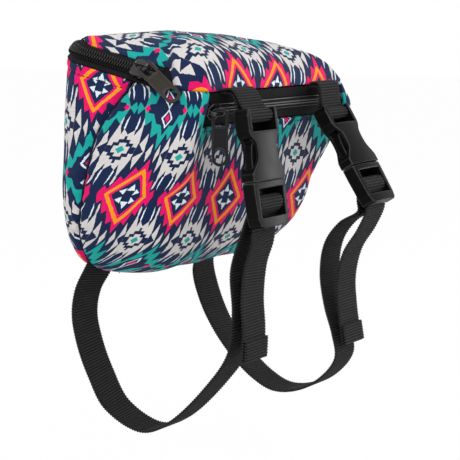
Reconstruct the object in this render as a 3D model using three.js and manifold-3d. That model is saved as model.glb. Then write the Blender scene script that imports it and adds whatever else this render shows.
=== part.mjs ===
import * as THREE from "three";
import { mergeVertices } from "three/addons/utils/BufferGeometryUtils.js";
import Module from "manifold-3d";

// A zipped cloth pouch that straps onto a saddle. Millimetres. X runs along the pouch, the back
// panel is the plane Y = 0, the front is at negative Y, and Z is up from the back panel's middle.
const POUCH_HALF_LENGTH = 87;
const RIM_INSET = 5;
const BOTTOM_HALF_LENGTH = 52;
const POUCH_DEPTH = 95;
const FOOT_DEPTH = 62;
const BACK_HEIGHT = 121.5;
const KNEE_DEPTH = 66;
const KNEE_HEIGHT = 105.5;
const FRONT_HEIGHT = 104;
const END_CURVE = 44;
const FRONT_TUCK = 28;
const BACK_TUCK = 12;
const BACK_CORNER = 18;
const FRONT_CORNER = 5;
const LOW_ROUNDING = 20;
const FRONT_BULGE = 4;
const END_BULGE = 5;
const CORNER_PUFF = 7;
const CLOTH = 2.4;
const MOUNT_HEIGHT = 62;
const GAP = 0.3;
const CORNER_STEPS = 6;

// The lid's highest point, and how full it and its front roll are towards each end.
const CROWN_X = -24;
const CROWN_BACK = 38;
const CROWN_HEIGHT = 136;
const LEFT_FULLNESS = 2.6;
const RIGHT_FULLNESS = 1.2;
const LEFT_ROLL = 2.5;
const RIGHT_ROLL = 1.7;

// The seam between the back panel and the front panel, seen from the end: back, up.
const SEAM = [
  [-56, 140],
  [-50, 111],
  [-41, 97],
  [-31, 82],
  [-25, 62],
  [-20, 40],
  [-15, 20],
  [-13, 8],
  [-13, -4],
];

// Zips. Tape is the breadth of the two tapes together, and on the pocket the height of their band.
const MAIN_ZIP = {
  tape: 13.4,
  tapeThick: 0.8,
  slot: 1.2,
  coil: 3.2,
  coilHigh: 2.2,
  tilt: 50,
  leftEnd: 66,
  rightEnd: 82,
  sliderLength: 14,
  bridgeHole: 4.4,
  bridgeHalf: 4.5,
};
const POCKET_ZIP = {
  tape: 19,
  tapeThick: 0.8,
  slot: 1.2,
  coil: 2.4,
  coilHigh: 1.7,
  halfLength: 77.5,
  recess: 0.8,
  seat: 0.467,
  sliderLength: 11,
  bridgeHole: 3.4,
  bridgeHalf: 5.4,
};
const MAIN_SLIDER_FROM_END = 9;
const POCKET_SLIDER_FROM_END = 6;
const PULLER_LENGTH = 31;
const PULLER_HALF_WIDTH = 4.4;
const PULLER_THICK = 1.5;
const MAIN_PULLER_SWING = 22;
const MAIN_PULLER_DROOP = 11;
const MAIN_PIN_LIFT = 2.9;
const POCKET_PULLER_TURN = 40;

// The pocket behind the front zip.
const POCKET_ROOM = 7;
const POCKET_FLOOR = 30;
const POCKET_HALF_LENGTH = 60;

// Webbing and side-release buckles.
const WEBBING = 25;
const WEBBING_THICK = 1.5;
const WEBBING_CLEARANCE = 0.9;
const STRAP_X = 50;
const STRAP_FOOT_ROLL = 14;
const BUCKLE_WALL = 3.8;
const BUCKLE_THICK = 11;
const SOCKET_TOP = 4.5;
const SOCKET_END = -35;
const PLUG_END = -60;
const BAR_RADIUS = 2.1;
const MIDDLE_BAR = -46.5;
const CAVITY_WALL = 2.8;
const CAVITY_HALF_THICK = 3.3;
const PLUG_CLEARANCE = 0.4;

// How far each buckle's top bar hangs ahead of the front rim and below it, and how far the buckle
// leans out, in degrees.
const LEFT_BUCKLE = { side: -1, ahead: 13.5, below: 13, lean: 8 };
const RIGHT_BUCKLE = { side: 1, ahead: 9.5, below: 17, lean: 31 };

// Free runs of the two straps, as sideways shift, back and up, from the bottom seam to the buckle.
const LEFT_ROUTE = [
  [-10, -12, 1.6],
  [-11, -6, -10],
  [-11, -3.5, -24],
  [-10, -6, -40],
  [-8, -12, -58],
  [-5, -21, -76],
  [-3, -43, -87],
  [-2, -60, -81],
  [0, -84, -58],
  [0, -98, -38],
  [0, -101, -16],
  [0, -100, 8],
];
const LEFT_TAIL = [
  [1, -112, 22],
  [1, -108, 10],
  [0, -106.5, -8],
  [0, -107.5, -26],
  [0, -107, -41],
];
const RIGHT_ROUTE = [
  [10, -12, 1.8],
  [11, -9, -12],
  [11, -13, -28],
  [10, -22, -45],
  [8, -37, -62],
  [5, -55, -75],
  [3, -70, -80.5],
  [2, -86, -78.5],
  [1, -102, -70],
  [0, -113, -56],
  [0, -111, -42],
  [0, -106, -26],
  [0, -103, -6],
  [0, -106, 12],
  [0, -115, 24],
];
const RIGHT_TAIL = [
  [0, -127, 21],
  [0, -118, 7],
  [0, -114, -10],
  [0, -115, -28],
  [0, -118, -47],
];

const RIM_HALF_LENGTH = POUCH_HALF_LENGTH - RIM_INSET;
const SLOT_HALF_WIDTH = WEBBING / 2 + WEBBING_CLEARANCE;
const BUCKLE_HALF_WIDTH = SLOT_HALF_WIDTH + BUCKLE_WALL;
const CAVITY_HALF_WIDTH = BUCKLE_HALF_WIDTH - CAVITY_WALL;
const UP = new THREE.Vector3(0, 0, 1);
const ALONG = new THREE.Vector3(1, 0, 0);
const RADIAN = Math.PI / 180;

const kernel = await Module();
kernel.setup();

function finish(geometry) {
  geometry.deleteAttribute("normal");
  geometry.deleteAttribute("uv");
  const merged = mergeVertices(geometry, 1e-4);
  merged.computeVertexNormals();
  return merged;
}

function volumeOf(points, faces) {
  let volume = 0;
  for (let i = 0; i < faces.length; i += 3) {
    const [a, b, c] = [points[faces[i]], points[faces[i + 1]], points[faces[i + 2]]];
    volume += a.dot(b.clone().cross(c));
  }
  return volume;
}

// A closed body through rings of equal count, with both ends capped from their centres.
function loft(rings) {
  const count = rings[0].length;
  const points = rings.flat();
  const faces = [];
  for (let i = 0; i + 1 < rings.length; i++) {
    for (let j = 0; j < count; j++) {
      const near = i * count + j;
      const next = i * count + ((j + 1) % count);
      faces.push(near, next, next + count, near, next + count, near + count);
    }
  }
  const last = (rings.length - 1) * count;
  const middle = (ring) => ring.reduce((sum, p) => sum.add(p), new THREE.Vector3()).divideScalar(count);
  points.push(middle(rings[0]), middle(rings.at(-1)));
  for (let j = 0; j < count; j++) {
    const next = (j + 1) % count;
    faces.push(next, j, points.length - 2);
    faces.push(last + j, last + next, points.length - 1);
  }
  if (volumeOf(points, faces) < 0) {
    faces.reverse();
  }
  const geometry = new THREE.BufferGeometry().setFromPoints(points);
  geometry.setIndex(faces);
  return finish(geometry);
}

// A section of across and out offsets carried along stations.
function sweep(stations, section) {
  const place = (s, [across, out]) =>
    s.at.clone().addScaledVector(s.across, across).addScaledVector(s.out, out);
  return loft(stations.map((s) => section.map((offset) => place(s, offset))));
}

function rectangle(x0, x1, y0, y1) {
  return [
    [x0, y0],
    [x1, y0],
    [x1, y1],
    [x0, y1],
  ];
}

function toSolid(geometry) {
  const merged = finish(geometry.clone());
  const mesh = new kernel.Mesh({
    numProp: 3,
    vertProperties: new Float32Array(merged.attributes.position.array),
    triVerts: new Uint32Array(merged.index.array),
  });
  mesh.merge();
  return new kernel.Manifold(mesh);
}

function fromSolid(solid) {
  const mesh = solid.getMesh();
  const geometry = new THREE.BufferGeometry();
  geometry.setAttribute("position", new THREE.BufferAttribute(mesh.vertProperties, 3));
  geometry.setIndex(new THREE.BufferAttribute(mesh.triVerts, 1));
  return finish(geometry);
}

function join(...geometries) {
  return fromSolid(geometries.map(toSolid).reduce((sum, solid) => sum.add(solid)));
}

function cut(geometry, ...tools) {
  return fromSolid(tools.map(toSolid).reduce((left, tool) => left.subtract(tool), toSolid(geometry)));
}

function common(geometry, tool) {
  return fromSolid(toSolid(geometry).intersect(toSolid(tool)));
}

function box(x0, x1, y0, y1, z0, z1) {
  const geometry = new THREE.BoxGeometry(x1 - x0, y1 - y0, z1 - z0);
  return geometry.translate((x0 + x1) / 2, (y0 + y1) / 2, (z0 + z1) / 2);
}

function slab(shape, depth, segments = 5) {
  const settings = { depth, bevelEnabled: false, curveSegments: segments };
  return new THREE.ExtrudeGeometry(shape, settings).translate(0, 0, -depth / 2);
}

function polygon(points) {
  return new THREE.Shape(points.map(([x, y]) => new THREE.Vector2(x, y)));
}

function stadium(x0, x1, half, Kind = THREE.Shape) {
  const shape = new Kind();
  shape.absarc(x1 - half, 0, half, -Math.PI / 2, Math.PI / 2, false);
  shape.absarc(x0 + half, 0, half, Math.PI / 2, (3 * Math.PI) / 2, false);
  shape.closePath();
  return shape;
}

// Pouch outline, level by level.
function rimHeight(y) {
  const back = Math.max(0, y + KNEE_DEPTH) / KNEE_DEPTH;
  const front = Math.min(0, y + KNEE_DEPTH) / (POUCH_DEPTH - KNEE_DEPTH);
  return KNEE_HEIGHT + (BACK_HEIGHT - KNEE_HEIGHT) * back + (KNEE_HEIGHT - FRONT_HEIGHT) * front;
}

function tuck(level, radius) {
  const left = Math.max(0, 1 - level / radius);
  return radius * (1 - Math.sqrt(1 - left * left));
}

function halfLengthAt(level) {
  const low = Math.max(0, 1 - level / END_CURVE);
  const curved = (POUCH_HALF_LENGTH - BOTTOM_HALF_LENGTH) * (1 - Math.sqrt(1 - low * low));
  const top = Math.max(0, (level - END_CURVE) / (BACK_HEIGHT - END_CURVE));
  return POUCH_HALF_LENGTH - curved - (POUCH_HALF_LENGTH - RIM_HALF_LENGTH) * top * top;
}

function frontAt(level) {
  const lean = FOOT_DEPTH + ((POUCH_DEPTH - FOOT_DEPTH) * level) / BACK_HEIGHT;
  return -lean + tuck(level, FRONT_TUCK);
}

// The zip's front ends as shares of the straight ends of the rim.
const STRAIGHT_END = POUCH_DEPTH - BACK_CORNER - FRONT_CORNER;
const LEFT_SHARE = (MAIN_ZIP.leftEnd + 1 - BACK_CORNER) / STRAIGHT_END;
const RIGHT_SHARE = (MAIN_ZIP.rightEnd + 1 - BACK_CORNER) / STRAIGHT_END;

function outline(half, back, front, backRadius, frontRadius) {
  const path = new THREE.Path();
  path.moveTo(0, back);
  path.lineTo(half - backRadius, back);
  path.absarc(half - backRadius, back - backRadius, backRadius, Math.PI / 2, 0, true);
  path.lineTo(half, THREE.MathUtils.lerp(back - backRadius, front + frontRadius, LEFT_SHARE));
  path.lineTo(half, THREE.MathUtils.lerp(back - backRadius, front + frontRadius, RIGHT_SHARE));
  path.lineTo(half, front + frontRadius);
  path.absarc(half - frontRadius, front + frontRadius, frontRadius, 0, -Math.PI / 2, true);
  path.lineTo(0, front);
  const pieces = path.curves.filter((curve) => curve.getLength() > 1e-6);
  const right = [new THREE.Vector2(0, back)];
  pieces.forEach((curve, i) => right.push(...curve.getPoints([3, CORNER_STEPS, 4, 3, 2, 4, 4][i]).slice(1)));
  const left = right.slice(1, -1).reverse();
  return [...right, ...left.map((p) => new THREE.Vector2(-p.x, p.y))];
}

function bodyRing(level, inset = 0, shape = level) {
  const half = halfLengthAt(shape) - inset;
  const back = -tuck(shape, BACK_TUCK) - inset;
  const front = frontAt(shape) + inset;
  const low = Math.max(0, 1 - shape / BACK_HEIGHT);
  const depth = back - front + 2 * inset;
  const backRadius = Math.min(BACK_CORNER, 0.44 * depth) - inset;
  const frontRadius = Math.min(FRONT_CORNER + LOW_ROUNDING * low, 0.52 * depth) - inset;
  const swell = Math.sin(Math.PI * Math.min(1, shape / (0.78 * BACK_HEIGHT))) ** 2;
  const belly = Math.sin((Math.PI * shape) / BACK_HEIGHT);
  const plump = Math.sin(Math.PI * Math.max(0, 1 - low / 0.55)) ** 0.7;
  return outline(half, back, front, backRadius, frontRadius).map((p) => {
    const forward = (back - p.y) / (back - front);
    const puff = CORNER_PUFF * plump * Math.abs(p.x / half) ** 8 * forward ** 6;
    const y = p.y - FRONT_BULGE * swell * forward ** 6 * (1 - (p.x / half) ** 2) - puff;
    const swelled = END_BULGE * belly * 4 * forward * (1 - forward) + puff;
    const x = p.x + (p.x / half) * swelled;
    return new THREE.Vector3(x, y, (level * rimHeight(y)) / BACK_HEIGHT);
  });
}

function bodyTub() {
  const levels = [0, 1.5, 5, 10, 16, 24, 34, 46, 60, 75, 90, 103, 113, BACK_HEIGHT];
  const outer = levels.map((level) => bodyRing(level));
  const inside = levels.filter((level) => level >= 5).map((level) => bodyRing(level, CLOTH, level - CLOTH));
  const floor = bodyRing(CLOTH, CLOTH, 0);
  return loft([...outer, ...inside.reverse(), floor]);
}

function seamSolid(shift) {
  const spline = new THREE.SplineCurve(SEAM.map(([y, z]) => new THREE.Vector2(y + shift, z)));
  const edge = spline.getPoints(14).map((p) => [p.x, p.y]);
  const shape = polygon([...edge, [20, SEAM.at(-1)[1]], [20, SEAM[0][1]]]);
  const along = new THREE.Matrix4().makeBasis(new THREE.Vector3(0, 1, 0), UP, ALONG);
  return slab(shape, 4 * POUCH_HALF_LENGTH).applyMatrix4(along);
}

const rim = bodyRing(BACK_HEIGHT);
const frontFoot = frontAt(((FRONT_HEIGHT - POCKET_ZIP.tape) * BACK_HEIGHT) / FRONT_HEIGHT);
const FRONT_LEAN = Math.atan2(POUCH_DEPTH + frontFoot, POCKET_ZIP.tape);

// Stations along the main zip, from the left front round the back to the right front.
function zipFrame(x, y, inward) {
  const tilt = MAIN_ZIP.tilt * RADIAN;
  const across = inward.clone().multiplyScalar(Math.cos(tilt)).addScaledVector(UP, Math.sin(tilt));
  const out = inward.clone().multiplyScalar(-Math.sin(tilt)).addScaledVector(UP, Math.cos(tilt));
  const at = new THREE.Vector3(x, y, rimHeight(y)).addScaledVector(across, MAIN_ZIP.tape / 2);
  return { at, across, out };
}

function leftZipStations(end) {
  const half = RIM_HALF_LENGTH;
  const inner = half - BACK_CORNER;
  const stations = [end, KNEE_DEPTH, 48, 33]
    .filter((depth) => depth <= end)
    .map((depth) => zipFrame(-half, -depth, ALONG));
  for (let i = 0; i <= CORNER_STEPS; i++) {
    const turn = Math.PI - (i * Math.PI) / (2 * CORNER_STEPS);
    const out = new THREE.Vector3(Math.cos(turn), Math.sin(turn), 0);
    const x = -inner + BACK_CORNER * out.x;
    stations.push(zipFrame(x, -BACK_CORNER + BACK_CORNER * out.y, out.negate()));
  }
  return stations;
}

function mainZipStations() {
  const mirror = (v) => new THREE.Vector3(-v.x, v.y, v.z);
  const right = leftZipStations(MAIN_ZIP.rightEnd)
    .map((s) => ({ at: mirror(s.at), across: mirror(s.across), out: mirror(s.out) }));
  return [...leftZipStations(MAIN_ZIP.leftEnd), ...right.reverse()];
}

function zipSections(zip, breadth) {
  const edge = breadth / 2 - GAP;
  const slot = zip.slot / 2;
  const base = zip.tapeThick + GAP;
  return {
    upperTape: rectangle(slot, edge, 0, zip.tapeThick),
    lowerTape: rectangle(-edge, -slot, 0, zip.tapeThick),
    upperCoil: rectangle(slot, slot + zip.coil, base, base + zip.coilHigh),
    lowerCoil: rectangle(-slot - zip.coil, -slot, base, base + zip.coilHigh),
  };
}

// Lid: a crown falling to the zip at the back and ends, and rolled down to the front seam.
function lidEdges() {
  const reach = MAIN_ZIP.tape + GAP;
  return rim.map((point, i) => {
    const before = rim[(i + rim.length - 1) % rim.length];
    const after = rim[(i + 1) % rim.length];
    const run = after.clone().sub(before).setZ(0).normalize();
    const inward = new THREE.Vector3(run.y, -run.x, 0);
    const frame = zipFrame(point.x, point.y, inward);
    const end = point.x < 0 ? MAIN_ZIP.leftEnd : MAIN_ZIP.rightEnd;
    const lift = THREE.MathUtils.smoothstep(point.y, Math.max(-POUCH_DEPTH, -end - 13), -end - 1);
    const outer = point.clone().addScaledVector(frame.across, reach * lift).addScaledVector(UP, GAP);
    const under = inward.clone().lerp(frame.out.clone().negate(), lift).normalize();
    const inner = outer.clone().addScaledVector(under, CLOTH);
    inner.z += (1 - lift) * (rimHeight(inner.y) - rimHeight(outer.y) + GAP);
    const front = THREE.MathUtils.smoothstep(-point.y, MAIN_ZIP.leftEnd - 12, POUCH_DEPTH);
    const side = THREE.MathUtils.smoothstep(point.x, -60, 60);
    const fullness = THREE.MathUtils.lerp(LEFT_FULLNESS, RIGHT_FULLNESS, side);
    const roll = THREE.MathUtils.lerp(LEFT_ROLL, RIGHT_ROLL, side);
    return { outer, inner, front, fullness, roll };
  });
}

function lidPoint(edge, centre, share, { front, fullness, roll }) {
  const soft = 1 - share ** fullness;
  const rolled = (1 - share ** roll) ** (1 / roll);
  const rise = THREE.MathUtils.lerp(soft, rolled, front);
  const point = centre.clone().lerp(edge, share);
  return point.setZ(THREE.MathUtils.lerp(edge.z, centre.z, rise));
}

function lidPanel() {
  const edges = lidEdges();
  const top = new THREE.Vector3(CROWN_X, -CROWN_BACK, CROWN_HEIGHT);
  const below = top.clone().addScaledVector(UP, -CLOTH);
  const shares = [0.05, 0.3, 0.55, 0.75, 0.88, 0.95, 0.985, 1];
  const outer = shares.map((share) => edges.map((e) => lidPoint(e.outer, top, share, e)));
  const inner = shares.map((share) => edges.map((e) => lidPoint(e.inner, below, share, e)));
  return loft([...outer, ...inner.reverse()]);
}

// Pocket zip stations run left to right in the leaning plane of the front.
function pocketFrame(x) {
  const across = new THREE.Vector3(0, -Math.sin(FRONT_LEAN), Math.cos(FRONT_LEAN));
  const out = new THREE.Vector3(0, -Math.cos(FRONT_LEAN), -Math.sin(FRONT_LEAN));
  const at = new THREE.Vector3(x, -POUCH_DEPTH, FRONT_HEIGHT);
  at.addScaledVector(across, -POCKET_ZIP.tape / (2 * Math.cos(FRONT_LEAN)));
  return { at: at.addScaledVector(out, -POCKET_ZIP.tapeThick - POCKET_ZIP.recess), across, out };
}

function pocketLining() {
  const room = CLOTH + POCKET_ROOM;
  const leanAt = (z) => frontAt((z * BACK_HEIGHT) / rimHeight(frontAt(z)));
  const top = FRONT_HEIGHT - 3;
  const low = FRONT_HEIGHT - POCKET_ZIP.tape - 4;
  const inner = [
    [-POUCH_DEPTH + CLOTH + 2.2, top],
    [leanAt(low) + room, low],
    [leanAt(POCKET_FLOOR + 8) + room, POCKET_FLOOR + 8],
    [leanAt(POCKET_FLOOR) + CLOTH - 0.4, POCKET_FLOOR],
  ];
  const shape = polygon([...inner, ...inner.map(([y, z]) => [y + 1.1, z + 0.4]).reverse()]);
  const along = new THREE.Matrix4().makeBasis(new THREE.Vector3(0, 1, 0), UP, ALONG);
  return slab(shape, 2 * POCKET_HALF_LENGTH).applyMatrix4(along);
}

// A slider rides over the coils on a thin post in the slot. Along the track, across, out.
function sliderShape(zip) {
  const coilTop = zip.tapeThick + GAP + zip.coilHigh;
  const plate = coilTop + 0.4;
  const half = zip.slot / 2 + zip.coil + 1.4;
  const long = zip.sliderLength / 2;
  const high = zip.bridgeHole;
  const leg = zip.bridgeHalf;
  const top = polygon([
    [-long, -half + 0.8],
    [-long + 1.2, -half],
    [long - 4, -half],
    [long, -half + 2.2],
    [long, half - 2.2],
    [long - 4, half],
    [-long + 1.2, half],
    [-long, half - 0.8],
  ]);
  const bridge = new THREE.Shape();
  bridge.moveTo(-leg, 0);
  bridge.lineTo(-leg + 0.2, high);
  bridge.quadraticCurveTo(-leg + 0.4, high + 1.2, -leg + 1.8, high + 1.2);
  bridge.lineTo(leg - 1.8, high + 1.2);
  bridge.quadraticCurveTo(leg - 0.4, high + 1.2, leg - 0.2, high);
  bridge.lineTo(leg, 0);
  bridge.lineTo(leg - 1.3, 0);
  bridge.lineTo(leg - 1.4, high);
  bridge.lineTo(1.4 - leg, high);
  bridge.lineTo(1.3 - leg, 0);
  const arch = slab(bridge, 2, 3).rotateX(Math.PI / 2).translate(0, 0, plate + 1.1);
  return join(
    slab(top, 1.4).translate(0, 0, plate + 0.7),
    box(-long + 1.2, long - 4, half - 1, half, zip.tapeThick + 0.4, plate + 0.3),
    box(-long + 1.2, long - 4, -half, 1 - half, zip.tapeThick + 0.4, plate + 0.3),
    box(-2, 2, -0.3, 0.3, -1, plate + 0.3),
    box(-long + 2, long - 2, 1 - half, half - 1, -1.6, -0.5),
    arch,
  );
}

function bridgeBase(zip) {
  return zip.tapeThick + GAP + zip.coilHigh + 1.8;
}

// A puller tab along X from the pin at its root, with the eye there and a finger hole at its tip.
function pullerShape() {
  const half = PULLER_HALF_WIDTH;
  const shape = new THREE.Shape();
  shape.moveTo(0.6, half);
  shape.lineTo(-1, half - 1.8);
  shape.lineTo(-1, 1.8 - half);
  shape.lineTo(0.6, -half);
  shape.absarc(PULLER_LENGTH - 1.2 - half, 0, half, -Math.PI / 2, Math.PI / 2, false);
  shape.closePath();
  shape.holes.push(polygon(rectangle(0.8, 8.4, 1.5 - half, half - 1.5)));
  shape.holes.push(stadium(PULLER_LENGTH - 10, PULLER_LENGTH - 2.9, half - 1.5, THREE.Path));
  return slab(shape, PULLER_THICK, 7);
}

function crossBar() {
  const long = 2 * SLOT_HALF_WIDTH + 1.2;
  return new THREE.CylinderGeometry(BAR_RADIUS, BAR_RADIUS, long, 12).rotateZ(Math.PI / 2);
}

function mirrored(points) {
  return [...points, ...points.map(([x, y]) => [-x, y]).reverse()];
}

// The buckle's socket half: bar at the origin, Y up the webbing, Z out of the face.
function socketShape() {
  const wide = BUCKLE_HALF_WIDTH;
  const side = new THREE.SplineCurve(
    [
      [wide - 0.9, -7.5],
      [wide - 2.2, -10.5],
      [wide - 5.8, -14],
      [wide - 6.8, -18.5],
      [wide - 6, -23.5],
      [wide - 2.6, -27.5],
      [wide, -30.5],
    ].map(([x, y]) => new THREE.Vector2(x, y)),
  );
  const edge = side.getPoints(16).map((p) => [p.x, p.y]);
  const right = [
    [wide - 4.4, SOCKET_TOP],
    [wide - 2, SOCKET_TOP - 1],
    [wide - 0.9, SOCKET_TOP - 4],
    ...edge,
    [wide, SOCKET_END],
  ];
  const open = SLOT_HALF_WIDTH;
  const slot = box(-open, open, -8.4, SOCKET_TOP + 1, -BUCKLE_THICK, BUCKLE_THICK);
  const room = CAVITY_HALF_WIDTH;
  const cavity = box(-room, room, SOCKET_END - 1, -11.8, -CAVITY_HALF_THICK, CAVITY_HALF_THICK);
  const body = cut(slab(polygon(mirrored(right)), BUCKLE_THICK), slot, cavity);
  return join(body, crossBar());
}

// The prong half: a ladder lock frame, two side prongs and a guide tongue, in one moulding.
function plugShape() {
  const top = SOCKET_END - PLUG_CLEARANCE;
  const wide = BUCKLE_HALF_WIDTH;
  const right = [
    [wide, top],
    [wide, top - 6],
    [wide - 1, PLUG_END + 5],
    [wide - 2.4, PLUG_END + 1.4],
    [wide - 5, PLUG_END],
  ];
  const high = BUCKLE_THICK - 1;
  const frame = slab(polygon(mirrored(right)), high);
  const slot = SLOT_HALF_WIDTH;
  const window = box(-slot, slot, PLUG_END + 5.4, top - 3.6, -high, high);
  const back = box(-slot, slot, PLUG_END - 1, PLUG_END + 6, -high, -1.4);
  const room = CAVITY_HALF_WIDTH;
  const arm = polygon([
    [room - 7.2, top - 1],
    [room - 0.6, top - 1],
    [room - 0.5, -26],
    [room - 0.8, -20],
    [room - 2.2, -15.4],
    [room - 3.8, -13.8],
    [room - 5.4, -14.8],
    [room - 5.8, -18],
    [room - 4.6, -25],
    [room - 5.2, -31],
  ]);
  const prong = slab(arm, 5.2);
  const other = prong.clone().rotateY(Math.PI);
  const tongue = box(-2.8, 2.8, top - 1, -17, -2.6, 2.6);
  const open = cut(frame, window, back);
  return join(open, crossBar().translate(0, MIDDLE_BAR, 0), prong, other, tongue);
}

function barPlace({ side, ahead, below }) {
  return new THREE.Vector3(side * STRAP_X, -POUCH_DEPTH - ahead, FRONT_HEIGHT - below);
}

function buckleMatrix(buckle) {
  const turn = (90 - buckle.lean) * RADIAN;
  const place = new THREE.Matrix4().makeRotationX(turn);
  return place.setPosition(barPlace(buckle));
}

// Flat webbing along points, its breadth along X but rolled at its first end.
function webbing(points, roll = 0, spans = 3) {
  const curve = new THREE.CatmullRomCurve3(points, false, "centripetal");
  const steps = spans * (points.length - 1);
  const stations = curve.getPoints(steps).map((at, i) => {
    const angle = roll * RADIAN * Math.max(0, 1 - i / 9);
    const across = new THREE.Vector3(Math.cos(angle), 0, Math.sin(angle));
    const out = curve.getTangent(i / steps).cross(across).normalize();
    return { at, across, out };
  });
  const half = WEBBING / 2;
  const thick = WEBBING_THICK / 2;
  return sweep(stations, rectangle(-half, half, -thick, thick));
}

function buckleTab(buckle) {
  const { x, y, z } = barPlace(buckle);
  const radius = BAR_RADIUS + GAP + WEBBING_THICK / 2;
  const seam = -POUCH_DEPTH - 0.5;
  const points = [new THREE.Vector3(x, seam, FRONT_HEIGHT + 1)];
  points.push(new THREE.Vector3(x, seam - 5, FRONT_HEIGHT + 0.8));
  for (let turn = 80; turn <= 350; turn += 45) {
    const angle = turn * RADIAN;
    points.push(new THREE.Vector3(x, y + radius * Math.cos(angle), z + radius * Math.sin(angle)));
  }
  points.push(new THREE.Vector3(x, seam - 5, FRONT_HEIGHT - 1.6));
  points.push(new THREE.Vector3(x, seam, FRONT_HEIGHT - 0.9));
  return webbing(points, 0, 1);
}

// One length of webbing: from the bottom seam, round and up, over the middle bar and down again.
function strap(buckle, route, tail) {
  const x = buckle.side * STRAP_X;
  const place = buckleMatrix(buckle);
  const radius = BAR_RADIUS + GAP + WEBBING_THICK / 2;
  const free = ([shift, y, z]) => new THREE.Vector3(x + shift, y, z);
  const lock = [
    [MIDDLE_BAR - 12.5, -9.2],
    [MIDDLE_BAR - 7.5, -6.6],
    [MIDDLE_BAR - 3.5, -4.4],
    [MIDDLE_BAR, -radius],
    [MIDDLE_BAR + radius * 0.72, -radius * 0.72],
    [MIDDLE_BAR + radius, 0],
    [MIDDLE_BAR + radius * 0.72, radius * 0.72],
    [MIDDLE_BAR - 0.4, radius],
    [MIDDLE_BAR - 3.4, radius * 0.7],
    [MIDDLE_BAR - 5.5, -0.4],
    [MIDDLE_BAR - 8.7, -2.7],
    [MIDDLE_BAR - 13.5, -3.4],
  ].map(([y, z]) => new THREE.Vector3(0, y, z).applyMatrix4(place));
  const points = [...route.map(free), ...lock, ...tail.map(free)];
  return webbing(points, buckle.side * STRAP_FOOT_ROLL);
}

const pouch = new THREE.Group();
pouch.name = "saddle_pouch";
pouch.position.z = -MOUNT_HEIGHT;

function add(name, geometry, [color, roughness, metalness]) {
  const material = new THREE.MeshStandardMaterial({ color, roughness, metalness });
  const mesh = new THREE.Mesh(geometry, material);
  mesh.name = name;
  pouch.add(mesh);
}

const PRINT = ["#b79f9d", 0.9, 0];
const LINING = ["#1d1d20", 0.85, 0];
const TAPE = ["#17171a", 0.8, 0];
const COIL = ["#232327", 0.4, 0];
const WEB = ["#1a1a1d", 0.8, 0];
const PLASTIC = ["#1e1e21", 0.45, 0];
const SLIDER = ["#141416", 0.3, 0.6];
const PULLER = ["#34322a", 0.45, 0.5];

const front = FRONT_HEIGHT - POCKET_ZIP.tape;
const reach = POCKET_ZIP.halfLength;
const notch = box(-reach, reach, -POUCH_DEPTH - 20, -POUCH_DEPTH + 26, front, FRONT_HEIGHT + 40);
const tub = cut(bodyTub(), notch);
add("back_panel", common(tub, seamSolid(GAP)), PRINT);
add("front_panel", cut(tub, seamSolid(0)), PRINT);
add("lid_panel", lidPanel(), PRINT);
add("pocket_lining", pocketLining(), LINING);

const mainStations = mainZipStations();
const mainSections = zipSections(MAIN_ZIP, MAIN_ZIP.tape);
add("main_zip_lid_tape", sweep(mainStations, mainSections.upperTape), TAPE);
add("main_zip_body_tape", sweep(mainStations, mainSections.lowerTape), TAPE);
add("main_zip_lid_coil", sweep(mainStations, mainSections.upperCoil), COIL);
add("main_zip_body_coil", sweep(mainStations, mainSections.lowerCoil), COIL);

const pocketStations = [pocketFrame(GAP - reach), pocketFrame(reach - GAP)];
const pocketTapes = POCKET_ZIP.tape / Math.cos(FRONT_LEAN) - 2 * POCKET_ZIP.seat;
const pocketSections = zipSections(POCKET_ZIP, pocketTapes);
add("pocket_zip_upper_tape", sweep(pocketStations, pocketSections.upperTape), TAPE);
add("pocket_zip_lower_tape", sweep(pocketStations, pocketSections.lowerTape), TAPE);
add("pocket_zip_upper_coil", sweep(pocketStations, pocketSections.upperCoil), COIL);
add("pocket_zip_lower_coil", sweep(pocketStations, pocketSections.lowerCoil), COIL);

// The main slider stands near the zip's left front end, its nose along the run to the front.
const mainFrame = zipFrame(-RIM_HALF_LENGTH, MAIN_SLIDER_FROM_END - MAIN_ZIP.leftEnd, ALONG);
const slope = new THREE.Vector3(0, -KNEE_DEPTH, KNEE_HEIGHT - BACK_HEIGHT).normalize();
const mainOut = slope.clone().cross(mainFrame.across).normalize();
const mainAcross = mainOut.clone().cross(slope);
const mainPlace = new THREE.Matrix4().makeBasis(slope, mainAcross, mainOut).setPosition(mainFrame.at);
add("main_zip_slider", sliderShape(MAIN_ZIP).applyMatrix4(mainPlace), SLIDER);
const mainPuller = pullerShape()
  .rotateY(MAIN_PULLER_DROOP * RADIAN)
  .rotateZ(-MAIN_PULLER_SWING * RADIAN)
  .translate(0, 0, bridgeBase(MAIN_ZIP) + MAIN_PIN_LIFT);
add("main_zip_puller", mainPuller.applyMatrix4(mainPlace), PULLER);

// The pocket slider's puller hangs from its bridge.
const pocketAt = pocketFrame(POCKET_SLIDER_FROM_END - POCKET_ZIP.halfLength);
const pocketNose = ALONG.clone().negate();
const pocketSide = pocketAt.across.clone().negate();
const pocketPlace = new THREE.Matrix4().makeBasis(pocketNose, pocketSide, pocketAt.out);
pocketPlace.setPosition(pocketAt.at);
add("pocket_zip_slider", sliderShape(POCKET_ZIP).applyMatrix4(pocketPlace), SLIDER);
const eyeHeight = bridgeBase(POCKET_ZIP) + POCKET_ZIP.bridgeHole + 0.6;
const eye = new THREE.Vector3(0, 0, eyeHeight).applyMatrix4(pocketPlace);
const pocketPuller = pullerShape()
  .translate(-2.1, 0, 0)
  .rotateY(Math.PI / 2)
  .rotateZ(POCKET_PULLER_TURN * RADIAN)
  .translate(eye.x, eye.y, eye.z);
add("pocket_zip_puller", pocketPuller, PULLER);

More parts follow.
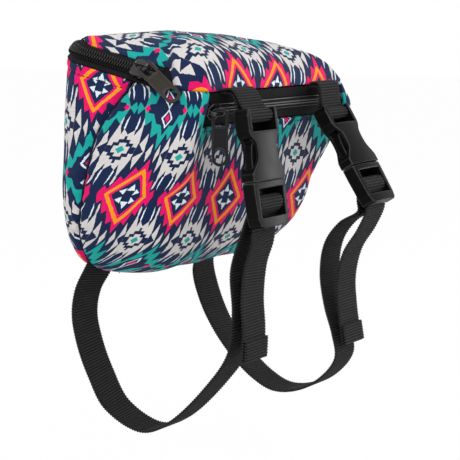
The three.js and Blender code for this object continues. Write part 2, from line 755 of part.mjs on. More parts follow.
for (const [side, buckle, route, tail] of [
  ["left", LEFT_BUCKLE, LEFT_ROUTE, LEFT_TAIL],
  ["right", RIGHT_BUCKLE, RIGHT_ROUTE, RIGHT_TAIL],
]) {
  const place = buckleMatrix(buckle);
  add(`${side}_buckle_tab`, buckleTab(buckle), WEB);
  add(`${side}_buckle_socket`, socketShape().applyMatrix4(place), PLASTIC);
  add(`${side}_buckle_plug`, plugShape().applyMatrix4(place), PLASTIC);
  add(`${side}_strap`, strap(buckle, route, tail), WEB);
}

export default pouch;
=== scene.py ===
import math

import bpy
import numpy as np
from bpy.props import FloatProperty, FloatVectorProperty, PointerProperty
from mathutils import Matrix, Vector
from mathutils.kdtree import KDTree


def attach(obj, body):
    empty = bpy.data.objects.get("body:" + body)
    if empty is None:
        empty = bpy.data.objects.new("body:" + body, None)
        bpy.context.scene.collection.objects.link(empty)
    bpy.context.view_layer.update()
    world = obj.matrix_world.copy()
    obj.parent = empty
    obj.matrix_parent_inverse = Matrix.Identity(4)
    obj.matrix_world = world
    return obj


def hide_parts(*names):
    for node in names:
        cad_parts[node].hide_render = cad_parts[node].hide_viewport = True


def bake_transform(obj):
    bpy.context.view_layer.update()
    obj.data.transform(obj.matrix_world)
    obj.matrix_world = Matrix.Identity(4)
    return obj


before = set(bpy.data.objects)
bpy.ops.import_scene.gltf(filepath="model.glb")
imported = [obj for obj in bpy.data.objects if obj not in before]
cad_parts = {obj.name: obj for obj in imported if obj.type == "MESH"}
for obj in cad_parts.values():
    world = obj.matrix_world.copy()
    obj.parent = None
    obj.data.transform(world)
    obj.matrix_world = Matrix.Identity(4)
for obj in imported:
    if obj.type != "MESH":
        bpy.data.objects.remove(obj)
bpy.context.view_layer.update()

bl_info = {
    "name": "Saddle pouch",
    "version": (1, 0, 0),
    "blender": (4, 5, 0),
    "location": "3D View > Sidebar > Pouch",
    "description": "Makes the cloth, zips, webbing and buckles of a saddle pouch",
    "category": "Object",
}

# Pouch sizes in millimetres, up from the pouch's lowest point, with the back panel at y = 0.
MOUNT_HEIGHT = 62.0
HALF_LENGTH = 87.0
RIM_HALF_LENGTH = 82.0
BOTTOM_HALF_LENGTH = 52.0
DEPTH = 95.0
FOOT_DEPTH = 62.0
BACK_HEIGHT = 121.5
KNEE_DEPTH = 66.0
KNEE_HEIGHT = 105.5
FRONT_HEIGHT = 104.0
END_CURVE = 44.0
FRONT_TUCK = 28.0
BACK_TUCK = 12.0
BACK_CORNER = 18.0
FRONT_CORNER = 5.0
LOW_ROUNDING = 20.0
FRONT_BULGE = 4.0
END_BULGE = 5.0
CORNER_PUFF = 7.0
CORNER_SHARES = (0.44, 0.52)
SWELL_SHARE = 0.78
PUFF_SHARE = 0.55
POCKET_TOP = 85.0
POCKET_TOP_DEPTH = 89.2
POCKET_REACH = 77.5
BOTTOM_SEAM = -13.0
POUCH_MIDDLE = np.array([0.0, -45.0, 70.0])
UP = np.array([0.0, 0.0, 1.0])
LEVELS = np.concatenate([np.linspace(0, 26, 26), np.linspace(26, BACK_HEIGHT, 70)[1:]])
# The seam between back and front, as depth and height.
SEAM = np.array([
    (-56, 140), (-50, 111), (-41, 97), (-31, 82), (-25, 62), (-20, 40), (-15, 20), (-13, 8),
    (-13, -4),
], float)
# The lid's highest point, and how roundly it falls to the zip and to the front, left and right.
CROWN = np.array([-24.0, -38.0, 136.0])
FULLNESS = (2.6, 1.2)
ROLL = (2.5, 1.7)
CALM_ROUNDS = 400

# How the cloth draws in along a seam, puckers beside it and folds at its hems.
SEAM_DEPTH = 2.9
SEAM_BREADTH = 2.0
PUCKER = 0.42
PUCKER_PLACE = 3.6
PUCKER_BREADTH = 4.6
SEAM_FADE = 12.0
RIGHT_FULLNESS = 6.0
RIM_HEM = 5.6
POCKET_HEM = 2.2
# Slow waves of stuffed cloth: height on each panel, and two kinds of wave, each with its share
# and two crossing directions with their phases.
BACK_WAVES = 0.45
FRONT_WAVES = 0.6
LID_WAVES = 0.5
WAVES = (
    (1.0, (0.071, 0.0, 0.05), 1.3, (0.0, -0.06, 0.083), 0.4),
    (0.6, (0.13, 0.0, -0.09), 2.1, (0.0, 0.11, 0.12), 0.0),
)

# How the print lies: the front's diamonds in line at this height and eased round its corners,
# and where each panel was cut from it.
PRINT_LEVEL = 44.0
FRONT_EASE = ((-150, -104, -76, -33, 75, 150), (-131.7, -85.7, -46.5, -5.2, 85.5, 160.5))
FRONT_SKEW = (0.1, 0.08)
FRONT_SKEW_FROM = -33.0
LID_EASE = 0.82
LID_SKEW = 0.3
BACK_CUT = (107.0, -138.0)
FRONT_CUT = (5.2, 0.0)
LID_CUT = (65.0, 71.0)

# The two zips: breadth of both tapes together, lean, ends and coils.
MAIN_TAPE = 13.4
MAIN_TILT = math.radians(50)
MAIN_ENDS = (66.0, 82.0)
MAIN_GAP = 0.35
END_FOLD = 13.0
POCKET_TAPE = 19.0
POCKET_LEAN = math.atan2(6.029, 19.0)
POCKET_RIDGE = (0.35, 3.0)
RIDGE_LIFT = (0.7, 2.2)
POCKET_SUNK = 1.6
TAPE_THICK = 0.8
TAPE_ROUND = 0.35
TAPE_MARGIN = 0.3
COIL_LIFT = 1.1
COIL_BED = (-2.7, 2.7, 0.2, 1.9)
# One turn of the main coil: breadth and height, and its line in shares of them.
TURN_SIZE = (3.5, 1.75)
TURN_REACH = np.array([-0.3, -0.12, 0.14, 0.45, 0.75, 0.94, 1.0])
TURN_HEIGHT = np.array([0.4, 0.85, 1.0, 0.94, 0.75, 0.4, 0.0])
TURN_SLANT = 1.1
TURN_RADIUS = 0.44
# Painted highlights along the pocket zip, as light lines on its black coil: place across it, lift,
# radius and depth of their teeth.
POCKET_HIGHLIGHTS = {"slot": (0.75, 2.15, 0.42, 0.1), "edge": (2.75, 1.55, 0.34, 0.0)}
LINE_TOOTH = 1.4

# Webbing routes: sideways shift from the strap's middle, depth and height.
STRAP_X = 50.0
FOOT_ROLL = math.radians(14)
FOOT_SEWN = 6.0
FOOT_POINTS = 3
LEFT_ROUTE = [
    (-10, -12, 1.6), (-11, -6, -10), (-11, -3.5, -24), (-10, -6, -40), (-8, -12, -58),
    (-5, -21, -76), (-3, -43, -87), (-2, -60, -81), (0, -84, -58), (0, -98, -38),
    (0, -101, -16), (0, -100, 8),
]
LEFT_TAIL = [(1, -112, 22), (1, -108, 10), (0, -106.5, -8), (0, -107.5, -26), (0, -107, -41)]
RIGHT_ROUTE = [
    (10, -12, 1.8), (11, -9, -12), (11, -13, -28), (10, -22, -45), (8, -37, -62), (5, -55, -75),
    (3, -70, -80.5), (2, -86, -78.5), (1, -102, -70), (0, -113, -56), (0, -111, -42),
    (0, -106, -26), (0, -103, -6), (0, -106, 12), (0, -115, 24),
]
RIGHT_TAIL = [(0, -127, 21), (0, -118, 7), (0, -114, -10), (0, -115, -28), (0, -118, -47)]
TAIL_HEM = 11.0
HEM_GAP = 0.25
# Two points on each strap, by depth and height in the frame's metres; the script works them out
# but does nothing with them.
FOLLOW_DEPTHS = (-0.02, -0.098)
FOLLOW_LEVEL = -0.12
# A tab's way out of the lid seam and back into it, as depth and height from the seam.
TAB_SEAM = -DEPTH - 0.5
TAB_OUT = [(4, 1), (0, 1), (-5, 0.8)]
TAB_BACK = [(-5, -1.6), (0, -0.9), (3, -0.9)]
# Webbing's section: places across it as shares of its half breadth, and its rise with the ribs.
WEB_ACROSS = np.array([-1, -0.97, -0.8, -0.4, 0, 0.4, 0.8, 0.97, 1])
WEB_RISE = (0.68, 0.38)

# Buckles: the webbing's way through a ladder lock, along the buckle and out of its face.
BAR_WRAP = 3.15
MIDDLE_BAR = -46.5
LOCK = [
    (-12.5, -9.2), (-7.5, -6.6), (-3.5, -4.4), (0, -BAR_WRAP), (0.72 * BAR_WRAP, -0.72 * BAR_WRAP),
    (BAR_WRAP, 0), (0.72 * BAR_WRAP, 0.72 * BAR_WRAP), (-0.4, BAR_WRAP), (-3.4, 0.7 * BAR_WRAP),
    (-5.5, -0.4), (-8.7, -2.7), (-13.5, -3.4),
]
LOCK_TURN = 5
LOCK_OVERLAP = 0.3
BUCKLE_HALF_WIDTH = 17.2
BUCKLE_CROWN = 1.3
BUCKLES = {
    "left": {
        "side": -1, "bar": (-108.5, 91.0), "lean": 8.0, "route": LEFT_ROUTE, "tail": LEFT_TAIL},
    "right": {
        "side": 1, "bar": (-104.5, 87.0), "lean": 31.0, "route": RIGHT_ROUTE, "tail": RIGHT_TAIL},
}
# Thin webs across a buckle, by half: half breadth, reach along the buckle and out of its face.
BUCKLE_WEBS = (
    # The plates behind the slots' webbing are painted shade: dark plastic that closes each opening
    # where only shade lies.
    ("socket", "slot_shade_plate", 14.6, (-9.0, -1.6), (-4.9, -4.1)),
    ("plug", "slot_shade_plate", 14.6, (MIDDLE_BAR + 1.6, MIDDLE_BAR + 8.2), (-4.4, -3.95)),
    ("plug", "collar", 13.9, (-36.4, -33.0), (-3.0, 3.0)),
)
# Moulded fittings: voxel of their remesh, and rounds of smoothing.
MOULDS = {"slider": (0.2, 4), "puller": (0.16, 4), "socket": (0.34, 7), "plug": (0.34, 6)}
RIM_BREADTH = 0.0011
PRESS_DEPTH = 0.00035
# Sewing: a stitch's line over the cloth, and the dark cords of painted shade in the end seams.
STITCH_RISE = np.array([-0.15, 0.22, 0.22, -0.15])
STITCH_RADIUS = 0.24
SEAM_SHADE_RADIUS = 0.75
SEAM_SHADE_LIFT = 0.5

# Camera, fitted to the object's outline: aim in the frame's millimetres, angles and distance.
CAMERA_AIM = (-7.8, -68.1, -40.0)
CAMERA_ANGLES = (-60.0, 7.2)
CAMERA_DISTANCE = 1000.0
CAMERA_LENS = 136.6
# Stage: lamps by place, breadth and power, a strip lamp, and the floor in pouch millimetres.
LAMPS = {
    "key_light": ((-0.9, -0.9, 1.1), 1.2, 17.0),
    "fill_light": ((1.1, -1.0, 0.5), 1.2, 7.0),
    "back_light": ((-0.5, 1.2, 0.9), 1.0, 8.0),
}
STRIP_PLACE = (0.72, -0.565, 0.02)
STRIP_AIM = (-0.05, -0.11, 0.005)
STRIP_SIZE = (0.36, 0.16)
STRIP_POWER = 2.2
FLOOR_REACH = 6000.0
FLOOR_LEVEL = -135.0
FLOOR_GLOW = 0.97
ROOM_LIGHT = 0.55


def length(name, description, default):
    """A length property, given in millimetres."""
    return FloatProperty(
        name=name, description=description, default=default / 1000, unit="LENGTH")


class PouchSizes(bpy.types.PropertyGroup):
    """Sizes a maker would change"""

    print_width: length("Print width", "Breadth of one diamond of the print", 42.0)
    print_row: length("Print row", "Height from one row of diamonds to the next", 52.0)
    weave: length("Weave", "Pitch of the canvas threads", 1.1)
    cloth: length("Cloth", "Thickness of the padded canvas", 1.8)
    webbing: length("Webbing", "Breadth of the straps", 25.0)
    webbing_thick: length("Webbing thickness", "Thickness of the straps", 1.5)
    rib: length("Rib", "Pitch of the ribs across the webbing", 1.6)
    tooth: length("Zip tooth", "Pitch of the main zip's coil", 1.7)
    stitch: length("Stitch", "Length of one stitch with its gap", 3.2)


def colour(name, description, default):
    """A colour property, given as it should look."""
    linear = tuple(c / 12.92 if c <= 0.04045 else ((c + 0.055) / 1.055) ** 2.4 for c in default)
    return FloatVectorProperty(
        name=name, description=description, default=linear, size=3, subtype="COLOR", min=0, max=1)


class PouchColours(bpy.types.PropertyGroup):
    """Colours of the cloth and fittings"""

    cream: colour("Cream", "Ground of the print", (0.835, 0.82, 0.815))
    navy: colour("Navy", "Outlines of the print", (0.075, 0.14, 0.285))
    pink: colour("Pink", "Warm diamonds of the print", (0.91, 0.05, 0.41))
    orange: colour("Orange", "Ring inside the warm diamonds", (0.96, 0.60, 0.08))
    teal: colour("Teal", "Cool diamonds of the print", (0.08, 0.65, 0.62))
    pale: colour("Pale", "Small stars of the print", (0.87, 0.92, 0.96))
    lining: colour("Lining", "Pocket lining", (0.11, 0.11, 0.13))
    tape: colour("Zip tape", "Zip tapes", (0.05, 0.05, 0.055))
    coil: colour("Zip coil", "Nylon coils", (0.05, 0.05, 0.055))
    slider: colour("Zip slider", "Gloss sliders", (0.06, 0.06, 0.07))
    puller: colour("Zip puller", "Main zip's puller tab", (0.115, 0.10, 0.075))
    # Painted highlight: the light lines along the pocket zip's black coil.
    coil_highlight: colour("Coil lines", "Light lines along the pocket zip", (0.25, 0.25, 0.26))
    webbing: colour("Webbing", "Strap webbing", (0.065, 0.065, 0.07))
    buckle: colour("Buckle", "Moulded buckles", (0.03, 0.03, 0.035))
    # The thread's colour also darkens the end seams' cords, which are painted shade.
    thread: colour("Thread", "Stitching", (0.07, 0.09, 0.17))


def sizes():
    """The sizes in millimetres."""
    group = bpy.context.scene.pouch_sizes
    return {name: 1000 * getattr(group, name) for name in PouchSizes.__annotations__}


def tint(name):
    """One of the colours, opaque."""
    return (*getattr(bpy.context.scene.pouch_colours, name), 1.0)


# Pouch outline, level by level.

def rim_height(y):
    """Height of the rim, which falls from the back to a knee and on to the front."""
    back = np.maximum(0, y + KNEE_DEPTH) / KNEE_DEPTH
    front = np.minimum(0, y + KNEE_DEPTH) / (DEPTH - KNEE_DEPTH)
    return KNEE_HEIGHT + (BACK_HEIGHT - KNEE_HEIGHT) * back + (KNEE_HEIGHT - FRONT_HEIGHT) * front


def tuck(level, radius):
    """How far a wall draws in as it rounds under to the bottom."""
    left = max(0.0, 1 - level / radius)
    return radius * (1 - math.sqrt(1 - left * left))


def half_length_at(level):
    low = max(0.0, 1 - level / END_CURVE)
    top = max(0.0, (level - END_CURVE) / (BACK_HEIGHT - END_CURVE))
    curved = (HALF_LENGTH - BOTTOM_HALF_LENGTH) * (1 - math.sqrt(1 - low * low))
    return HALF_LENGTH - curved - (HALF_LENGTH - RIM_HALF_LENGTH) * top * top


def front_at(level):
    return -(FOOT_DEPTH + (DEPTH - FOOT_DEPTH) * level / BACK_HEIGHT) + tuck(level, FRONT_TUCK)


def smoothstep(value, low, high):
    t = np.clip((value - low) / (high - low), 0, 1)
    return t * t * (3 - 2 * t)


def lerp(a, b, share):
    return a + (b - a) * share


class Ring:
    """The pouch's outline at one level, by run from mid back round to mid front."""

    def __init__(self, level):
        self.level = level
        self.half = half_length_at(level)
        self.back = -tuck(level, BACK_TUCK)
        self.front = front_at(level)
        low = max(0.0, 1 - level / BACK_HEIGHT)
        depth = self.back - self.front
        self.back_radius = min(BACK_CORNER, CORNER_SHARES[0] * depth)
        self.front_radius = min(FRONT_CORNER + LOW_ROUNDING * low, CORNER_SHARES[1] * depth)
        self.swell = math.sin(math.pi * min(1, level / (SWELL_SHARE * BACK_HEIGHT))) ** 2
        self.belly = math.sin(math.pi * level / BACK_HEIGHT)
        self.plump = math.sin(math.pi * max(0.0, 1 - low / PUFF_SHARE)) ** 0.7
        runs = [
            self.half - self.back_radius,
            math.pi / 2 * self.back_radius,
            depth - self.back_radius - self.front_radius,
            math.pi / 2 * self.front_radius,
            self.half - self.front_radius,
        ]
        self.stops = np.concatenate([[0], np.cumsum(runs)])
        self.run = np.linspace(0, self.stops[-1], 700)
        self.points = self.at(self.run)

    def at(self, run):
        """Points on the right half, by run."""
        s = self.stops
        br, fr = self.back_radius, self.front_radius
        turn_back = (run - s[1]) / br
        turn_front = (run - s[3]) / max(fr, 1e-6)
        spots = [run < s[1], run < s[2], run < s[3], run < s[4]]
        x = np.select(
            spots,
            [run, self.half - br + br * np.sin(turn_back), self.half + 0 * run,
             self.half - fr + fr * np.cos(turn_front)],
            s[5] - run)
        y = np.select(
            spots,
            [self.back + 0 * run, self.back - br + br * np.cos(turn_back),
             self.back - br - (run - s[2]), self.front + fr - fr * np.sin(turn_front)],
            self.front)
        forward = np.clip((self.back - y) / (self.back - self.front), 0, 1)
        out = np.abs(x / self.half)
        puff = CORNER_PUFF * self.plump * out**8 * forward**6
        y = y - FRONT_BULGE * self.swell * forward**6 * (1 - out**2) - puff
        x = x + x / self.half * (END_BULGE * self.belly * 4 * forward * (1 - forward) + puff)
        return np.stack([x, y, self.level * rim_height(y) / BACK_HEIGHT], axis=-1)

    def seam(self):
        """Run at which the outline meets the seam between back and front."""
        ahead = self.points[:, 1] - np.interp(self.points[:, 2], SEAM_LINE[:, 1], SEAM_LINE[:, 0])
        first = int(np.argmax(ahead < 0))
        share = ahead[first - 1] / (ahead[first - 1] - ahead[first])
        return lerp(self.run[first - 1], self.run[first], share)

    def pocket_end(self):
        """Run at which the front reaches the end of the pocket opening."""
        reach = min(POCKET_REACH, self.half - 0.5 * self.front_radius)
        after = self.run > lerp(self.stops[3], self.stops[4], 0.3)
        x, run = self.points[after, 0], self.run[after]
        return float(np.interp(reach, x[::-1], run[::-1]))

    def signed(self, run):
        """Points by signed run, negative on the left."""
        points = self.at(np.abs(run))
        points[:, 0] *= np.where(run < 0, -1, 1)
        return points


def between(p1, p2, v1, v2, t):
    """A point on the cubic from p1 to p2 with these speeds at its ends."""
    square = (3 * (p2 - p1) - 2 * v1 - v2) * t**2
    cube = (2 * (p1 - p2) + v1 + v2) * t**3
    return p1 + v1 * t + square + cube


def spline(points, steps):
    """A uniform Catmull-Rom line through points."""
    ends = np.concatenate([points[:1], points, points[-1:]])
    line = []
    for p0, p1, p2, p3 in zip(ends, ends[1:], ends[2:], ends[3:]):
        for t in np.linspace(0, 1, steps, endpoint=False):
            line.append(between(p1, p2, (p2 - p0) / 2, (p3 - p1) / 2, t))
    return np.array([*line, points[-1]])


SEAM_LINE = spline(SEAM, 12)[::-1]


# Mesh helpers. Points are in pouch millimetres and go into the frame's metres.

def to_frame(points):
    return (np.asarray(points, float) - (0, 0, MOUNT_HEIGHT)) / 1000


def grid_faces(rows, columns, start=0, keep=None, closed=False):
    """Quads of a grid; keep(row, column) picks which stay."""
    faces = []
    for i in range(rows - 1):
        for j in range(columns if closed else columns - 1):
            if keep is None or keep(i, j):
                a = start + i * columns + j
                b = start + i * columns + (j + 1) % columns
                faces.append((a, b, b + columns, a + columns))
    return faces


def add_piece(name, points, faces, cloth=None):
    """A new mesh, with each point's place on the flat cloth kept beside it."""
    mesh = bpy.data.meshes.new(name)
    mesh.from_pydata(to_frame(points).tolist(), [], faces)
    if cloth is not None:
        flat = mesh.attributes.new("cloth", "FLOAT_VECTOR", "POINT")
        flat.data.foreach_set("vector", np.asarray(cloth, np.float32).ravel())
    mesh.shade_smooth()
    piece = bpy.data.objects.new(name, mesh)
    bpy.context.scene.collection.objects.link(piece)
    return piece


def finish_piece(piece, look, slot, body, *nodes):
    """Gives a piece its finish, its body and the solids it stands for."""
    piece.data.materials.clear()
    piece.data.materials.append(finish(look))
    if body:
        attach(piece, body)
    if nodes:
        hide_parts(*nodes)


def bake(piece):
    """Applies a piece's modifiers."""
    graph = bpy.context.evaluated_depsgraph_get()
    mesh = bpy.data.meshes.new_from_object(piece.evaluated_get(graph))
    piece.modifiers.clear()
    piece.data = mesh
    mesh.shade_smooth()


def unit(vectors):
    return vectors / np.maximum(np.linalg.norm(vectors, axis=-1, keepdims=True), 1e-9)


def outward(points, centre=POUCH_MIDDLE):
    """Unit normals of a grid, turned away from a centre."""
    normal = unit(np.cross(np.gradient(points, axis=1), np.gradient(points, axis=0)))
    side = np.sum(normal * (points - centre), axis=-1)
    return normal * (1 if np.sum(side) > 0 else -1)


def lengths(points, axis=0):
    """Running length along a line, or along one axis of a grid."""
    step = np.linalg.norm(np.diff(points, axis=axis), axis=-1)
    pad = [(0, 0)] * step.ndim
    pad[axis] = (1, 0)
    return np.cumsum(np.pad(step, pad), axis=axis)


def sweep(stations, section):
    """Points and faces of a section of across and out offsets carried along stations."""
    at, across, out = stations
    section = np.broadcast_to(section, (len(at), *np.shape(section)[-2:]))
    points = at[:, None] + across[:, None] * section[..., :1] + out[:, None] * section[..., 1:]
    rows, columns = points.shape[:2]
    last = range((rows - 1) * columns, rows * columns)
    faces = grid_faces(rows, columns, closed=True)
    faces += [tuple(range(columns)), tuple(reversed(last))]
    return points.reshape(-1, 3), faces


def rounded_strip(x0, x1, y0, y1, round_by, corner=3):
    """A rectangle's outline with rounded corners."""
    turns = np.linspace(0, math.pi / 2, corner)
    outline = []
    for cx, cy, start in [
        (x1 - round_by, y1 - round_by, 0), (x0 + round_by, y1 - round_by, 1),
        (x0 + round_by, y0 + round_by, 2), (x1 - round_by, y0 + round_by, 3),
    ]:
        for turn in turns + start * math.pi / 2:
            outline.append((cx + round_by * math.cos(turn), cy + round_by * math.sin(turn)))
    return np.array(outline)


def circle(sides):
    """A unit circle's outline."""
    turn = np.linspace(0, 2 * math.pi, sides, endpoint=False)
    return np.stack([np.cos(turn), np.sin(turn)], axis=-1)


def resample(points, step):
    """Even points along a line, with their runs."""
    run = lengths(points)
    even = np.linspace(0, run[-1], max(2, int(round(run[-1] / step)) + 1))
    return np.stack([np.interp(even, run, points[:, k]) for k in range(3)], axis=1), even


def rods(lines, radius, sides=6, thin=0.45):
    """Points and faces of round rods along short lines of equal point count, thin at the ends."""
    points, faces = [], []
    outline = circle(sides)
    for line in lines:
        along = unit(np.gradient(line, axis=0))
        upright = np.where(np.abs(along[:, 2:]) < 0.9, (0, 0, 1), (1, 0, 0))
        side = unit(np.cross(along, upright))
        up = np.cross(side, along)
        size = np.full(len(line), radius)
        size[[0, -1]] *= thin
        ring = side[:, None] * outline[:, :1] + up[:, None] * outline[:, 1:]
        start = len(points) * len(line) * sides
        end = start + len(line) * sides
        points.append((line[:, None] + ring * size[:, None, None]).reshape(-1, 3))
        faces += grid_faces(len(line), sides, start, closed=True)
        faces += [tuple(reversed(range(start, start + sides))), tuple(range(end - sides, end))]
    return np.concatenate(points), faces


# Materials.

class Field:
    """A number that varies over a surface, worked out by a material's nodes."""

    def __init__(self, tree, socket):
        self.tree = tree
        self.socket = socket

    def math(self, operation, *others):
        node = self.tree.nodes.new("ShaderNodeMath")
        node.operation = operation
        for slot, value in zip(node.inputs, (self, *others)):
            if isinstance(value, Field):
                self.tree.links.new(value.socket, slot)
            else:
                slot.default_value = value
        return Field(self.tree, node.outputs[0])

    def __add__(self, other):
        return self.math("ADD", other)

    def __sub__(self, other):
        return self.math("SUBTRACT", other)

    def __rsub__(self, other):
        return (self * -1.0) + other

    def __mul__(self, other):
        return self.math("MULTIPLY", other)

    def __lt__(self, other):
        return self.math("LESS_THAN", other)

    def __gt__(self, other):
        return self.math("GREATER_THAN", other)

    def absolute(self):
        return self.math("ABSOLUTE")

    def wrapped(self, half):
        return self.math("WRAP", half, -half)

    def zigzag(self, breadth):
        """Up and down between 0 and 1, once in each breadth."""
        return self.math("PINGPONG", breadth / 2) * (2 / breadth)

    def stepped(self, step):
        return (self * (1 / step)).math("FLOOR") * step


def new_material(name):
    """A material with its nodes and its shader."""
    material = bpy.data.materials.new(name)
    material.use_nodes = True
    tree = material.node_tree
    return material, tree, tree.nodes["Principled BSDF"]


def set_sockets(node, values):
    for name, value in values.items():
        node.inputs[name].default_value = value


def attribute(tree, name):
    node = tree.nodes.new("ShaderNodeAttribute")
    node.attribute_name = name
    return node


def cloth_place(tree):
    """The place on the flat cloth, as two fields."""
    split = tree.nodes.new("ShaderNodeSeparateXYZ")
    tree.links.new(attribute(tree, "cloth").outputs["Vector"], split.inputs[0])
    return Field(tree, split.outputs[0]), Field(tree, split.outputs[1])


def object_place(tree):
    return tree.nodes.new("ShaderNodeTexCoord").outputs["Object"]


def noise(tree, vector, scale, detail=3.0):
    node = tree.nodes.new("ShaderNodeTexNoise")
    set_sockets(node, {"Scale": scale, "Detail": detail})
    tree.links.new(vector, node.inputs["Vector"])
    return Field(tree, node.outputs[0])


def paint(tree, base, share, over):
    """Lays one colour over another where share is 1."""
    node = tree.nodes.new("ShaderNodeMix")
    node.data_type = "RGBA"
    tree.links.new(share.socket, node.inputs["Factor"])
    for slot, value in ((node.inputs[6], base), (node.inputs[7], over)):
        if isinstance(value, tuple):
            slot.default_value = value
        else:
            tree.links.new(value, slot)
    return node.outputs[2]


def bump(tree, shader, height, strength, distance):
    node = tree.nodes.new("ShaderNodeBump")
    set_sockets(node, {"Strength": strength, "Distance": distance})
    tree.links.new(height.socket, node.inputs["Height"])
    tree.links.new(node.outputs["Normal"], shader.inputs["Normal"])


def lighter(tone, times, plus):
    """A colour brought up for wear and dust, and for painted highlights."""
    return (*(min(1.0, c * times + plus) for c in tone[:3]), 1.0)


def print_colours(tree, u, v, size):
    """Rows of spiked diamonds, warm and cool by turns, on a cream ground. Sizes in millimetres."""
    cream, navy, pale = tint("cream"), tint("navy"), tint("pale")
    pink, orange, teal = tint("pink"), tint("orange"), tint("teal")
    half, row = size["print_width"] / 2, size["print_row"]
    x = u.wrapped(half).absolute()
    high = v.wrapped(row / 2).absolute()
    cool = ((v * (1 / row) + 0.5).math("FLOOR") * 0.5).math("FRACT") > 0.25
    warm = 1.0 - cool
    aside = half - x
    above = row / 2 - high

    def diamond(wide, tall, spike=0.0, spike_breadth=5.0):
        """A diamond whose edge rises into upright spikes."""
        return high < (x * (-tall / wide) + (tall + spike)) - x.zigzag(spike_breadth) * spike

    def lozenge(from_x, from_y, wide, tall):
        across, up = (x - from_x).absolute(), (high - from_y).absolute()
        return (across * (1 / wide) + up * (1 / tall)) < 1.0

    knot = aside * 0.72 + above.stepped(2.0)
    stripe = (high + aside * 0.9) < 17.0
    layers = [
        # Stepped knots between the diamonds, with arrowheads beside them.
        (knot < 6.6, navy),
        (knot < 3.6, cream),
        ((aside * 0.8 + above) < 2.3, teal),
        (((above * 1.2 + aside) < 14.6) * (aside > 9.2), navy),
        # Spiked outlines, and striped bands where neighbours in a row meet.
        (diamond(24.4, 23.2, 10.4, 5.6), navy),
        (stripe * (aside < 7.6), cream),
        (stripe * (aside < 6.2), navy),
        (stripe * ((aside - 3.6).absolute() < 0.5), pale),
        (diamond(18.6, 20.6, 7.0, 5.6), navy),
        # Warm diamonds, each round a small star.
        (diamond(16.8, 17.6, 5.2, 5.6) * warm, pink),
        (diamond(14.0, 16.8) * warm, orange),
        (diamond(11.4, 13.6) * warm, pink),
        (diamond(9.4, 11.2) * warm, navy),
        (lozenge(0.0, 3.3, 2.3, 4.1) * (high > 3.3) * warm, pale),
        (lozenge(2.7, 2.5, 3.7, 1.9) * (x > 2.7) * warm, pale),
        # Cool diamonds, each round a pair of lozenges.
        (diamond(16.8, 17.6, 7.0, 6.6) * cool, teal),
        (diamond(13.0, 12.8, 3.0, 6.6) * cool, navy),
        (lozenge(14.4, 0.0, 1.9, 2.4) * cool, pink),
        (lozenge(0.0, 5.6, 4.5, 5.9) * cool, pale),
        (lozenge(0.0, 5.6, 3.2, 4.3) * cool, navy),
        (lozenge(0.0, 5.6, 2.0, 2.7) * cool, pink),
    ]
    colours = cream
    for share, over in layers:
        colours = paint(tree, colours, share, over)
    return colours


def printed_canvas():
    """Plain-weave canvas with the diamond print."""
    size = sizes()
    material, tree, shader = new_material("diamond_canvas")
    u, v = cloth_place(tree)
    place = object_place(tree)
    bleed = (noise(tree, place, scale=700.0, detail=2.0) - 0.5) * 0.7
    colours = print_colours(tree, u + bleed, v + bleed, size)
    thread = 2 * math.pi / size["weave"]
    weave = (u * thread).math("SINE") * (v * thread).math("SINE")
    # Painted shade: the print is darkened between the canvas threads; the noise varies its tone at
    # random.
    shade = (weave * 0.07 + 0.95) + (noise(tree, place, scale=90.0) - 0.5) * 0.16
    dark = tree.nodes.new("ShaderNodeVectorMath")
    dark.operation = "SCALE"
    tree.links.new(colours, dark.inputs[0])
    tree.links.new(shade.socket, dark.inputs["Scale"])
    tree.links.new(dark.outputs[0], shader.inputs["Base Color"])
    set_sockets(shader, {"Roughness": 0.86, "Specular IOR Level": 0.14, "Sheen Weight": 0.04})
    slubs = noise(tree, place, scale=260.0) * 1.2
    bump(tree, shader, weave + slubs, strength=0.35, distance=0.0003)
    return material


def woven(name, tone, pitch, rough, rib):
    """Black woven tape or webbing: twill threads and ribs where it has them, painted lighter on
    their crests and darker between as highlight and shade, and a little dust.
    """
    material, tree, shader = new_material(name)
    u, v = cloth_place(tree)
    thread = 2 * math.pi / pitch
    twill = ((u + v) * thread).math("SINE") * ((u - v) * thread).math("SINE")
    worn = noise(tree, object_place(tree), scale=160.0)
    base = tint(tone)
    # Painted highlight and shade on the twill threads, with real dust from the noise.
    share = twill * 0.2 + worn * 0.36
    if rib:
        # Painted highlight on the ribs' crests, where the webbing is thickest, and painted shade
        # between them.
        ribs = (v * (2 * math.pi / rib)).math("COSINE")
        share = share + ribs * 0.55 + 0.1
    dust_and_thread_highlight = paint(tree, base, share, lighter(base, times=3.0, plus=0.016))
    tree.links.new(dust_and_thread_highlight, shader.inputs["Base Color"])
    set_sockets(shader, {"Roughness": rough, "Specular IOR Level": 0.12})
    bump(tree, shader, twill + worn, strength=0.5, distance=0.00025)
    return material


